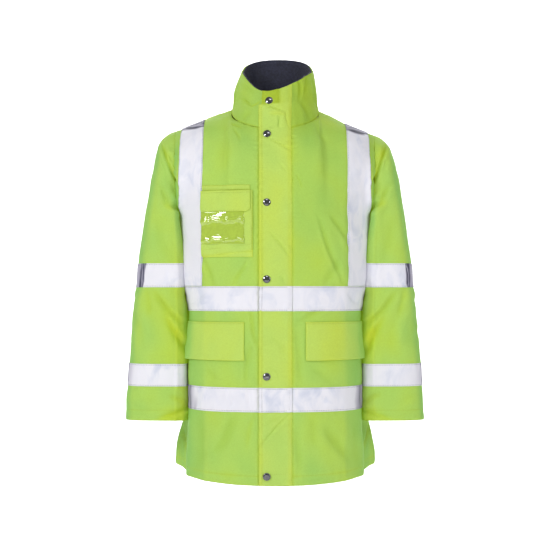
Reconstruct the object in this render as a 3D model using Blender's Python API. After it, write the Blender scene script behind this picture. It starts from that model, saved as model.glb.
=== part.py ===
"""High-visibility padded parka jacket, filled out as worn and snapped shut.

Metres, Z up. The front faces -Y and the wearer's left is +X. The origin is the
middle of the neck base, level with the points where shoulder seams meet the collar.
"""

import math

import bpy
import numpy as np
from mathutils import Vector

# Cloth thicknesses and spacing
WALL = 0.004
FLAP_THICK = 0.003
POCKET_THICK = 0.0016
WINDOW_THICK = 0.0008
TAPE_THICK = 0.0008
LINING_THICK = 0.002
GAP = 0.0003
SEAM_GAP = 0.00036

# Heights
HEM_Z = -0.82
ARMPIT_Z = -0.2526
NECK_FRONT_Z = -0.054
NECK_BACK_Z = 0.025
SHOULDER_TIP = (0.222, 0.0, -0.0450)
SHOULDER_POINT_X = 0.101
NECK_FRONT_Y = -0.110
NECK_BACK_Y = 0.075

# Collar top
COLLAR_HALF_WIDTH = 0.082
COLLAR_FRONT_Y = -0.098
COLLAR_BACK_Y = 0.062
COLLAR_RIM_RISE = 0.0015

# Snaps
SNAP_RADIUS = 0.0087
SNAP_SIDES = 20
SNAP_PROFILE = [(0.0087, 0.0), (0.0087, 0.0011), (0.0078, 0.0023), (0.0052, 0.0031)]
SNAP_TOP = 0.0034
SNAP_PLACES = [
    ("snap_collar", -0.0125, 0.006),
    ("snap_neck", -0.0174, -0.0665),
    ("snap_chest", -0.0174, -0.216),
    ("snap_waist", -0.0176, -0.380),
    ("snap_hip", -0.0176, -0.587),
    ("snap_hem", -0.0176, -0.799),
]

# Body section at each height: z, front half-width, side half-width, back half-width,
# front depth, back depth
BODY = [
    (-0.820, 0.2040, 0.1880, 0.2540, 0.150, 0.148),
    (-0.790, 0.2035, 0.1880, 0.2535, 0.150, 0.148),
    (-0.740, 0.2010, 0.1885, 0.2450, 0.150, 0.147),
    (-0.680, 0.1970, 0.1895, 0.2270, 0.149, 0.146),
    (-0.640, 0.1945, 0.1920, 0.2095, 0.148, 0.145),
    (-0.590, 0.1940, 0.1935, 0.1960, 0.148, 0.144),
    (-0.500, 0.1925, 0.1925, 0.1930, 0.147, 0.141),
    (-0.440, 0.1950, 0.1945, 0.1945, 0.146, 0.140),
    (-0.390, 0.2055, 0.2045, 0.2030, 0.146, 0.141),
    (-0.320, 0.2085, 0.2080, 0.2060, 0.144, 0.143),
    (-0.2526, 0.2120, 0.2154, 0.2110, 0.140, 0.143),
]
SECTION_POWER = 2.6
FRONT_TURN = 74.0
BACK_TURN = 58.0
HEM_LIFT = 0.010
HEM_LIFT_REACH = 0.11
BACK_HEM_LIFT = 0.016
LEFT_SHOULDER_DROP = 0.009

# Rows of the body panels from the hem to the top edge of the chest pocket
ROW_Z = [
    -0.820, -0.799, -0.765, -0.730, -0.696, -0.663, -0.637, -0.611, -0.583, -0.554,
    -0.526, -0.498, -0.471, -0.444, -0.4195, -0.395, -0.364, -0.333, -0.305, -0.279,
    -0.2526, -0.2358, -0.212, -0.190, -0.178,
]
ROWS_TO_SHOULDER = 8
LOW_BAND_ROWS = (5, 7)
LOW_FLAP_ROWS = (9, 12)
HIGH_BAND_ROWS = (13, 15)
POCKET_ROWS = (17, 23)
WINDOW_ROWS = (18, 21)
POCKET_FLAP_ROWS = (21, 23)
POCKET_STRIP_ROWS = (23, 24)
ARMPIT_ROW = 20

# Columns of one front panel: x on the wearer's right, x on the wearer's left,
# angle round the section (0 where x rules), angle on the back panel, x at the top edge
FRONT_COLUMNS = [
    (0.0010, 0.0010, 0, 0, 0.0010),
    (0.0174, 0.0185, 0, 0, 0.0180),
    (0.0347, 0.0370, 0, 0, 0.0355),
    (0.0470, 0.0500, 0, 0, 0.0500),
    (0.0650, 0.0650, 0, 0, 0.0670),
    (0.0830, 0.0830, 0, 0, 0.0840),
    (0.1000, 0.1000, 0, 0, 0.0955),
    (0.1180, 0.1180, 0, 0, 0.1010),
    (0.1380, 0.1380, 0, 0, 0.1280),
    (0.1570, 0.1570, 0, 0, 0.1555),
    (0.0, 0.0, 66, 62, 0.1800),
    (0.0, 0.0, 80, 74, 0.2065),
    (0.0, 0.0, 86, 83, 0.2150),
    (0.0, 0.0, 90, 90, 0.2220),
]
FLAP_COLUMN = 2
POCKET_COLUMNS = (3, 9)
WINDOW_COLUMNS = (4, 9)
LOW_FLAP_COLUMNS = (4, 11)
BRACE_COLUMNS = (9, 11)
NECK_CORNER = 7

# Inner columns of the back panel: x, x at the top edge
BACK_MIDDLE = [(0.0950, 0.0875), (0.0650, 0.0620), (0.0330, 0.0320), (0.0, 0.0)]

# Height of the collar's top edge round the neck: angle from centre front, z
COLLAR_TOP = [
    (-180, 0.126), (-150, 0.122), (-120, 0.109), (-90, 0.088), (-72, 0.078),
    (-55, 0.062), (-37, 0.041), (-20, 0.029), (-12, 0.0272), (0, 0.031),
    (8, 0.0345), (22, 0.0445), (37, 0.055), (55, 0.070), (72, 0.081), (90, 0.089),
    (120, 0.109), (150, 0.122), (180, 0.126),
]
COLLAR_ROWS = [0.0, 0.07, 0.25, 0.45, 0.65, 0.84, 1.0]

# Sleeve rings: inner x, inner z, outer x, outer z, half depth, middle y
SLEEVE = [
    (0.2154, -0.2526, 0.2220, -0.0450, 0.0720, 0.000),
    (0.2176, -0.2572, 0.2400, -0.0530, 0.0735, 0.000),
    (0.2186, -0.2642, 0.2560, -0.0680, 0.0745, 0.000),
    (0.2172, -0.2722, 0.2645, -0.0910, 0.0750, 0.000),
    (0.2142, -0.2808, 0.2718, -0.1240, 0.0750, 0.000),
    (0.2112, -0.2902, 0.2792, -0.1640, 0.0750, 0.001),
    (0.2082, -0.3005, 0.2858, -0.2080, 0.0745, 0.002),
    (0.2052, -0.3125, 0.2932, -0.2540, 0.0740, 0.003),
    (0.2022, -0.3265, 0.3000, -0.3000, 0.0730, 0.003),
    (0.1992, -0.3444, 0.3062, -0.3444, 0.0720, 0.003),
    (0.1967, -0.3707, 0.3085, -0.3707, 0.0710, 0.003),
    (0.1947, -0.3970, 0.3105, -0.3970, 0.0700, 0.003),
    (0.1927, -0.4240, 0.3130, -0.4240, 0.0685, 0.002),
    (0.1907, -0.4520, 0.3165, -0.4520, 0.0665, 0.000),
    (0.1900, -0.4800, 0.3190, -0.4800, 0.0645, -0.002),
    (0.1896, -0.5090, 0.3215, -0.5090, 0.0625, -0.004),
    (0.1895, -0.5370, 0.3240, -0.5370, 0.0605, -0.005),
    (0.1895, -0.5652, 0.3265, -0.5652, 0.0585, -0.006),
    (0.1895, -0.5900, 0.3280, -0.5900, 0.0565, -0.007),
    (0.1895, -0.6148, 0.3300, -0.6148, 0.0550, -0.008),
    (0.1898, -0.6410, 0.3320, -0.6410, 0.0530, -0.009),
    (0.1902, -0.6680, 0.3330, -0.6680, 0.0510, -0.010),
    (0.1906, -0.6940, 0.3345, -0.6940, 0.0490, -0.011),
]
SLEEVE_BLEND_RINGS = 6
SLEEVE_POWER = 2.7
SLEEVE_ROOM = 0.0035
SLEEVE_SOFTNESS = 0.0060
FLAP_ROOM = 0.0036
FLAP_ROOM_Z = -0.5125
FLAP_ROOM_REACH = 0.110
HIGH_SLEEVE_BAND = (9, 11)
LOW_SLEEVE_BAND = (17, 19)

# Largest folds: facing (-1 front, 1 back, 0 both), start x, start z, end x, end z,
# half-width, height along the surface's outward direction
FOLDS = [
    (-1, -0.262, -0.080, -0.226, -0.165, 0.014, -0.0050),
    (-1, 0.262, -0.084, 0.226, -0.168, 0.014, -0.0050),
    (-1, -0.266, -0.170, -0.222, -0.235, 0.018, -0.0045),
    (-1, 0.264, -0.176, 0.222, -0.240, 0.018, -0.0045),
    (-1, -0.270, -0.408, -0.214, -0.475, 0.016, -0.0060),
    (-1, 0.272, -0.406, 0.216, -0.474, 0.016, -0.0060),
    (-1, -0.246, -0.465, -0.202, -0.545, 0.016, -0.0055),
    (-1, 0.246, -0.465, 0.204, -0.542, 0.016, -0.0055),
    (-1, -0.300, -0.430, -0.262, -0.520, 0.022, 0.0040),
    (-1, 0.302, -0.430, 0.264, -0.520, 0.022, 0.0040),
    (1, -0.290, -0.400, -0.225, -0.470, 0.018, -0.0060),
    (1, 0.292, -0.410, 0.226, -0.482, 0.018, -0.0060),
    (-1, -0.120, -0.690, -0.090, -0.800, 0.026, 0.0040),
    (-1, 0.110, -0.690, 0.135, -0.805, 0.026, 0.0040),
    (-1, -0.165, -0.700, -0.170, -0.810, 0.022, -0.0040),
    (-1, 0.170, -0.700, 0.172, -0.810, 0.022, -0.0040),
    (1, -0.120, -0.700, -0.135, -0.815, 0.030, 0.0050),
    (1, 0.060, -0.690, 0.055, -0.815, 0.030, 0.0045),
    (1, 0.165, -0.700, 0.180, -0.815, 0.026, 0.0040),
    (1, -0.150, -0.150, -0.110, -0.330, 0.030, -0.0050),
    (1, 0.150, -0.150, 0.115, -0.340, 0.030, -0.0050),
]

SHELL_COLOUR = (0.50, 0.78, 0.06, 1.0)
TRIM_COLOUR = (0.56, 0.80, 0.07, 1.0)
TAPE_COLOUR = (0.78, 0.77, 0.86, 1.0)
LINING_COLOUR = (0.022, 0.026, 0.050, 1.0)
METAL_COLOUR = (0.62, 0.62, 0.64, 1.0)
WINDOW_COLOUR = (0.70, 0.82, 0.30, 1.0)


def smooth(xs, ys, x):
    """A smooth curve through the points (xs, ys), read at x."""
    x = min(max(x, xs[0]), xs[-1])
    i = min(max(int(np.searchsorted(xs, x)) - 1, 0), len(xs) - 2)
    slopes = np.gradient(np.asarray(ys, float), np.asarray(xs, float))
    h = xs[i + 1] - xs[i]
    t = (x - xs[i]) / h
    rise = (2 * t ** 3 - 3 * t ** 2 + 1) * ys[i] + (3 * t ** 2 - 2 * t ** 3) * ys[i + 1]
    bend = (t ** 3 - 2 * t ** 2 + t) * slopes[i] + (t ** 3 - t ** 2) * slopes[i + 1]
    return float(rise + bend * h)


def body_value(column, z):
    """One column of the body table at a height."""
    return smooth([row[0] for row in BODY], [row[column] for row in BODY], z)


def step(t):
    """An eased step from 0 to 1."""
    t = min(max(t, 0.0), 1.0)
    return t * t * (3 - 2 * t)


def section_point(z, angle, back):
    """A point on the body's level section: angle 0 at the middle, 90 at the side."""
    side = body_value(2, z)
    wide = body_value(3 if back else 1, z)
    depth = body_value(5 if back else 4, z)
    start = BACK_TURN if back else FRONT_TURN
    width = wide + (side - wide) * step((angle - start) / (90.0 - start))
    turn = math.radians(angle)
    power = 2.0 / SECTION_POWER
    x = width * math.sin(turn) ** power
    y = depth * max(math.cos(turn), 0.0) ** power
    near_hem = max(0.0, 1.0 - (z - HEM_Z) / HEM_LIFT_REACH)
    if back:
        z += BACK_HEM_LIFT * near_hem * step((x - 0.190) / 0.040)
    else:
        z += HEM_LIFT * near_hem * (x / side) ** 2 * min(y / 0.06, 1.0)
    return np.array([x, y if back else -y, z])


def angle_of(x, z, back):
    """The section angle at which the body's half-section passes x."""
    width = body_value(3 if back else 1, z)
    return math.degrees(math.asin(min(x / width, 1.0) ** (SECTION_POWER / 2.0)))


def top_point(x, back):
    """A point of the panel's top edge: the neck seam, then the shoulder seam."""
    if x <= SHOULDER_POINT_X:
        turn = math.asin(x / SHOULDER_POINT_X)
        y = (NECK_BACK_Y if back else NECK_FRONT_Y) * math.cos(turn)
        z = (NECK_BACK_Z if back else NECK_FRONT_Z) * math.cos(turn)
        return np.array([x, y, z])
    share = (x - SHOULDER_POINT_X) / (SHOULDER_TIP[0] - SHOULDER_POINT_X)
    return np.array([x, 0.0, SHOULDER_TIP[2] * share])


def upper_column(x, angle, x_top, back):
    """The upper part of a panel column as a curve of t, from armpit level to its top."""
    start_angle = angle if angle else angle_of(x, ARMPIT_Z, back)
    start = section_point(ARMPIT_Z, start_angle, back)
    end = top_point(x_top, back)
    out = 1.0 if back else -1.0
    across = end[0] - start[0]
    side_share = step((start_angle - 55.0) / 35.0)
    rise = np.array([across, out * (0.29 * side_share - 0.01), 0.25 - 0.13 * side_share])
    lean = math.sin(math.asin(min(x_top / SHOULDER_POINT_X, 1.0))) ** 2
    pull = 0.06 + 0.38 * lean - 0.15 * side_share
    outward = step((x_top - SHOULDER_POINT_X) / 0.08)
    neck_lift = 0.19 - 0.29 * lean if back else 0.19
    lift = neck_lift + (0.05 - neck_lift) * outward
    fall = np.array([across, -out * pull, lift])

    def curve(t):
        value = (2 * t ** 3 - 3 * t ** 2 + 1) * start + (3 * t ** 2 - 2 * t ** 3) * end
        return value + (t ** 3 - 2 * t ** 2 + t) * rise + (t ** 3 - t ** 2) * fall

    return curve


def height_share(curve, z):
    """The t at which an upper column passes the height z."""
    low = 0.0
    high = 1.0
    for _ in range(40):
        middle = 0.5 * (low + high)
        if curve(middle)[2] < z:
            low = middle
        else:
            high = middle
    return 0.5 * (low + high)


def column_points(x, angle, x_top, back):
    """All the points of one panel column, from the hem to the top edge."""
    points = []
    for z in ROW_Z[:ARMPIT_ROW + 1]:
        points.append(section_point(z, angle if angle else angle_of(x, z, back), back))
    curve = upper_column(x, angle, x_top, back)
    share = 0.0
    for z in ROW_Z[ARMPIT_ROW + 1:]:
        share = height_share(curve, z)
        points.append(curve(share))
    for i in range(1, ROWS_TO_SHOULDER + 1):
        points.append(curve(share + (1.0 - share) * i / ROWS_TO_SHOULDER))
    return points


def front_grid(side):
    """One front panel, its columns in order of rising x."""
    columns = []
    for x_right, x_left, angle, back_angle, x_top in FRONT_COLUMNS:
        columns.append(column_points(x_left if side > 0 else x_right, angle, x_top, False))
    grid = np.array(columns).transpose(1, 0, 2)
    if side < 0:
        grid = grid[:, ::-1] * np.array([-1.0, 1.0, 1.0])
    return grid.copy()


def back_grid():
    """The back panel, its columns in order of falling x."""
    half = []
    for x_right, x_left, angle, back_angle, x_top in FRONT_COLUMNS[:NECK_CORNER - 1:-1]:
        half.append(column_points(x_left, back_angle, x_top, True))
    for x, x_top in BACK_MIDDLE:
        half.append(column_points(x, 0, x_top, True))
    mirrored = [[p * np.array([-1.0, 1.0, 1.0]) for p in column] for column in half[-2::-1]]
    return np.array(half + mirrored).transpose(1, 0, 2).copy()


def collar_top_point(neck):
    """The point of the collar's top edge above a point of the neck seam."""
    x = neck[0]
    share = min(abs(x) / SHOULDER_POINT_X, 1.0)
    half = abs(x) * (1.0 - (1.0 - COLLAR_HALF_WIDTH / SHOULDER_POINT_X) * share ** 2)
    turn = math.asin(min(half / COLLAR_HALF_WIDTH, 1.0))
    depth = COLLAR_FRONT_Y if neck[1] < -1e-9 else COLLAR_BACK_Y
    angle = math.degrees(turn) if neck[1] < 1e-9 else 180.0 - math.degrees(turn)
    shift = 0.002 + 0.0035 * share ** 2 if neck[1] < 1e-9 else 0.0055
    z = smooth([a for a, _ in COLLAR_TOP], [v for _, v in COLLAR_TOP], math.copysign(angle, x))
    return np.array([math.copysign(half, x) + shift, depth * math.cos(turn), z])


def collar_grid(right, back, left):
    """The collar from the wearer's left of centre front, round the back, to the right."""
    neck = list(left[-1, :NECK_CORNER + 1]) + list(back[-1, NECK_CORNER:-NECK_CORNER])
    neck += list(right[-1, -NECK_CORNER - 1:])
    grid = np.zeros((len(COLLAR_ROWS), len(neck), 3))
    for j, base in enumerate(neck):
        top = collar_top_point(base)
        outward = np.array([base[0] + top[0], base[1] + top[1] + 0.03, 0.0])
        outward /= np.linalg.norm(outward)
        swell = 0.0035 - 0.0035 * step((outward[0] + 0.2) / 1.0)
        for i, share in enumerate(COLLAR_ROWS):
            point = base + (top - base) * share
            grid[i, j] = point + outward * swell * math.sin(math.pi * share)
    return grid


def body_side(y, z):
    """How far the body reaches sideways at a depth and a height."""
    back = y > 0
    share = min(abs(y) / body_value(5 if back else 4, z), 1.0)
    angle = math.degrees(math.acos(share ** (SECTION_POWER / 2.0)))
    return section_point(z, angle, back)[0]


def beside_body(point):
    """Move a point of the left sleeve out so that it lies softly against the body."""
    x, y, z = point
    if z >= ARMPIT_Z:
        return point
    room = SLEEVE_ROOM * step((ARMPIT_Z - z) / 0.015)
    room += FLAP_ROOM * (1.0 - step(abs(z - FLAP_ROOM_Z) / FLAP_ROOM_REACH))
    reach = body_side(y, z) + room
    over = x - reach
    if over > SLEEVE_SOFTNESS:
        return point
    if over > -SLEEVE_SOFTNESS:
        reach += (over + SLEEVE_SOFTNESS) ** 2 / (4.0 * SLEEVE_SOFTNESS)
    return np.array([reach, y, z])


def ring_point(row, turn):
    """A point of a sleeve ring for the left sleeve: turn 0 under the arm, pi on top."""
    inner = np.array([row[0], row[5], row[1]])
    outer = np.array([row[2], row[5], row[3]])
    power = 2.0 / SLEEVE_POWER
    across = math.copysign(abs(math.cos(turn)) ** power, math.cos(turn))
    forward = math.copysign(abs(math.sin(turn)) ** power, math.sin(turn))
    point = 0.5 * (inner + outer) + 0.5 * (inner - outer) * across
    return point + np.array([0.0, -row[4] * forward, 0.0])


def sleeve_grid(side, front, back):
    """A sleeve: rings from the armhole to the cuff."""
    if side > 0:
        hole = list(front[ARMPIT_ROW:, -1]) + list(back[-2:ARMPIT_ROW:-1, 0])
    else:
        hole = list(front[ARMPIT_ROW:, 0]) + list(back[-2:ARMPIT_ROW:-1, -1])
    hole = np.array(hole) * np.array([side, 1.0, 1.0])
    top = len(front) - 1 - ARMPIT_ROW
    lengths = np.linalg.norm(np.diff(np.vstack([hole, hole[:1]]), axis=0), axis=1)
    run = np.concatenate([[0.0], np.cumsum(lengths)])
    turns = []
    for j in range(len(hole)):
        if j <= top:
            turns.append(math.pi * run[j] / run[top])
        else:
            turns.append(math.pi + math.pi * (run[j] - run[top]) / (run[-1] - run[top]))
    grid = np.zeros((len(SLEEVE), len(hole), 3))
    for k, row in enumerate(SLEEVE):
        keep = 1.0 - step(k / SLEEVE_BLEND_RINGS)
        for j, turn in enumerate(turns):
            shift = hole[j] - ring_point(SLEEVE[0], turn)
            grid[k, j] = beside_body(ring_point(row, turn) + keep * shift)
    grid[0] = hole
    return grid * np.array([side, 1.0, 1.0])


def drop_left_shoulder(grid):
    """Let the wearer's left shoulder hang a little lower than the right one."""
    for index in np.ndindex(grid.shape[:2]):
        x, y, z = grid[index]
        share = step((x - 0.085) / 0.075) * step((z - ARMPIT_Z) / 0.170)
        grid[index][2] = z - LEFT_SHOULDER_DROP * share


def grid_normals(grid, closed, axis):
    """Outward unit directions at a grid's points."""
    if closed:
        along = np.roll(grid, -1, axis=1) - np.roll(grid, 1, axis=1)
    else:
        along = np.gradient(grid, axis=1)
    normals = np.cross(along, np.gradient(grid, axis=0))
    normals /= np.linalg.norm(normals, axis=2)[:, :, None] + 1e-12
    if np.sum(normals * (grid - axis)) < 0:
        normals = -normals
    return normals


def panel_axes(grids):
    """A point or line inside each panel that its outside faces away from."""
    axes = {}
    for name, (grid, closed) in grids.items():
        if closed:
            axes[name] = grid.mean(axis=1)[:, None, :]
        else:
            axes[name] = grid * np.array([0.0, 0.0, 1.0])
    return axes


def find_seams(grids):
    """The groups of grid points at which panels meet."""
    meeting = {}
    for name, (grid, closed) in grids.items():
        for index in np.ndindex(grid.shape[:2]):
            key = tuple(np.round(grid[index], 6) + 0.0)
            meeting.setdefault(key, []).append((name, index))
    return [members for members in meeting.values() if len(members) > 1]


def shared_directions(grids, seams):
    """Outward directions that panels share along their seams, longer at corners."""
    normals = {}
    for name, axis in panel_axes(grids).items():
        normals[name] = grid_normals(*grids[name], axis)
    for members in seams:
        own = [normals[name][index].copy() for name, index in members]
        while len(own) > 2:
            pairs = [(float(own[i] @ own[j]), i, j) for i in range(len(own)) for j in range(i)]
            _, i, j = max(pairs)
            merged = own[i] + own[j]
            own = [n for k, n in enumerate(own) if k not in (i, j)]
            own.append(merged / np.linalg.norm(merged))
        joint = sum(own)
        joint /= np.linalg.norm(joint)
        reach = 1.0 / max(min(float(joint @ n) for n in own), 0.5)
        for name, index in members:
            normals[name][index] = joint * reach
    return normals


def fold_height(point):
    """How far the folds move a point of the cloth outwards."""
    total = 0.0
    for facing, x0, z0, x1, z1, half_width, height in FOLDS:
        if facing * point[1] < -0.005:
            continue
        axis = np.array([x1 - x0, z1 - z0])
        place = np.array([point[0] - x0, point[2] - z0])
        share = float(place @ axis) / float(axis @ axis)
        near = place - axis * min(max(share, 0.0), 1.0)
        ends = math.exp(-((share - 0.5) / 0.55) ** 4)
        total += height * ends * math.exp(-float(near @ near) / half_width ** 2)
    return total


def add_folds(grids, seams):
    """Move the panels' points along the shared directions by the folds."""
    normals = shared_directions(grids, seams)
    for name, (grid, closed) in grids.items():
        for index in np.ndindex(grid.shape[:2]):
            grid[index] = grid[index] + normals[name][index] * fold_height(grid[index])


def edge_inward(edge, neighbours, normals, closed):
    """Unit directions in the cloth, square to one edge and away from the seam."""
    if closed:
        along = np.roll(edge, -1, axis=0) - np.roll(edge, 1, axis=0)
    else:
        along = np.gradient(edge, axis=0)
    inward = np.cross(normals, along)
    inward /= np.linalg.norm(inward, axis=1)[:, None]
    if np.sum(inward * (neighbours - edge)) < 0:
        inward = -inward
    return inward


def pulled(layer, base, normals, closed):
    """A copy of a layer whose free edges stand back from the seams by half a gap."""
    shift = np.zeros_like(base)
    shift[0] += edge_inward(base[0], base[1], normals[0], closed)
    shift[-1] += edge_inward(base[-1], base[-2], normals[-1], closed)
    if not closed:
        shift[:, 0] += edge_inward(base[:, 0], base[:, 1], normals[:, 0], False)
        shift[:, -1] += edge_inward(base[:, -1], base[:, -2], normals[:, -1], False)
    return layer + shift * SEAM_GAP / 2


def signed_volume(points, faces):
    """The volume inside a closed mesh, negative where its faces point inwards."""
    corners = points[np.array(faces)]
    return float(np.sum(corners[:, 0] * np.cross(corners[:, 1], corners[:, 2])) / 6)


def sheet_solid(outer, inner, base, closed):
    """Points and faces of a sheet between two grids of the same shape."""
    rows, columns = outer.shape[:2]
    keys = [tuple(np.round(p, 5) + 0.0) for p in base.reshape(-1, 3)]
    points = np.vstack([outer.reshape(-1, 3), inner.reshape(-1, 3)])
    half = rows * columns
    faces = []
    across = columns if closed else columns - 1
    for i in range(rows - 1):
        for j in range(across):
            a = i * columns + j
            b = i * columns + (j + 1) % columns
            c = b + columns
            d = a + columns
            faces += [(a, b, c), (a, c, d)]
            faces += [(half + a, half + c, half + b), (half + a, half + d, half + c)]
    rim = []
    for j in range(across):
        rim.append((j, (j + 1) % columns))
        rim.append(((rows - 1) * columns + (j + 1) % columns, (rows - 1) * columns + j))
    if not closed:
        for i in range(rows - 1):
            rim.append(((i + 1) * columns, i * columns))
            rim.append((i * columns + columns - 1, (i + 1) * columns + columns - 1))
    for a, b in rim:
        if keys[a] < keys[b]:
            faces += [(b, a, half + a), (b, half + a, half + b)]
        else:
            faces += [(b, a, half + b), (a, half + a, half + b)]
    if signed_volume(points, faces) < 0:
        faces = [(a, c, b) for a, b, c in faces]
    return points, faces


def make_material(name, colour, roughness, metallic):
    """A plain shader for one sub-part."""
    material = bpy.data.materials.new(name + "_material")
    material.use_nodes = True
    shader = material.node_tree.nodes["Principled BSDF"]
    shader.inputs["Base Color"].default_value = colour
    shader.inputs["Roughness"].default_value = roughness
    shader.inputs["Metallic"].default_value = metallic
    return material


def add_object(name, points, faces, look, holder):
    """A named object whose origin is the middle of its own mesh."""
    middle = 0.5 * (points.min(axis=0) + points.max(axis=0))
    mesh = bpy.data.meshes.new(name)
    mesh.from_pydata([tuple(p) for p in points - middle], [], faces)
    mesh.update()
    mesh.materials.append(make_material(name, *look))
    item = bpy.data.objects.new(name, mesh)
    bpy.context.scene.collection.objects.link(item)
    item.location = Vector(middle)
    item.parent = holder
    return item


def add_sheet(name, base, normals, start, thick, look, holder, closed=False):
    """A sheet that starts at a distance from the base points and has a thickness."""
    low = start if isinstance(start, np.ndarray) else np.full(base.shape[:2], start)
    inner = pulled(base + normals * low[:, :, None], base, normals, closed)
    outer = pulled(base + normals * (low + thick)[:, :, None], base, normals, closed)
    points, faces = sheet_solid(outer, inner, base, closed)
    return add_object(name, points, faces, look, holder)


def seat_on(base, normals, height, x, z, radius):
    """The place and outward direction where a disc clears a sheet's outer faces."""
    outer = base + normals * height
    flat = outer.reshape(-1, 3)
    near = np.argsort((flat[:, 0] - x) ** 2 + (flat[:, 2] - z) ** 2)[:4]
    weights = 1.0 / ((flat[near, 0] - x) ** 2 + (flat[near, 2] - z) ** 2 + 1e-7)
    out = (normals.reshape(-1, 3)[near] * weights[:, None]).sum(axis=0)
    out /= np.linalg.norm(out)
    y = float((flat[near, 1] * weights).sum() / weights.sum())
    centre = np.array([x, y, z])
    top = -1.0
    rows, columns = base.shape[:2]
    for i in range(rows - 1):
        for j in range(columns - 1):
            corners = [outer[i, j], outer[i, j + 1], outer[i + 1, j + 1], outer[i + 1, j]]
            for a, b, c in ((0, 1, 2), (0, 2, 3)):
                for u in np.linspace(0.0, 1.0, 13):
                    for v in np.linspace(0.0, 1.0 - u, 13):
                        spot = corners[a] + u * (corners[b] - corners[a])
                        spot = spot + v * (corners[c] - corners[a]) - centre
                        rise = float(spot @ out)
                        if float(spot @ spot) - rise * rise < radius * radius:
                            top = max(top, rise)
    return centre + out * (top + GAP), out


def snap_solid():
    """Points and faces of a domed snap that stands on z = 0."""
    points = [(0.0, 0.0, 0.0)]
    for radius, z in SNAP_PROFILE:
        for k in range(SNAP_SIDES):
            turn = 2 * math.pi * k / SNAP_SIDES
            points.append((radius * math.cos(turn), radius * math.sin(turn), z))
    points.append((0.0, 0.0, SNAP_TOP))
    faces = []
    for k in range(SNAP_SIDES):
        n = (k + 1) % SNAP_SIDES
        faces.append((0, 1 + n, 1 + k))
        for level in range(len(SNAP_PROFILE) - 1):
            a = 1 + level * SNAP_SIDES
            b = a + SNAP_SIDES
            faces.append((a + k, a + n, b + n))
            faces.append((a + k, b + n, b + k))
        last = 1 + (len(SNAP_PROFILE) - 1) * SNAP_SIDES
        faces.append((last + k, last + n, len(points) - 1))
    return np.array(points), faces


def piece(grid, normals, rows, columns):
    """The part of a panel between two rows and two columns, ends included."""
    cut = (slice(rows[0], rows[1] + 1), slice(columns[0], columns[1] + 1))
    return grid[cut], normals[cut]


def span(side, first, last):
    """Grid columns of a front panel between two columns counted from centre front."""
    if side > 0:
        return first, last
    end = len(FRONT_COLUMNS) - 1
    return end - last, end - first


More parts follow.
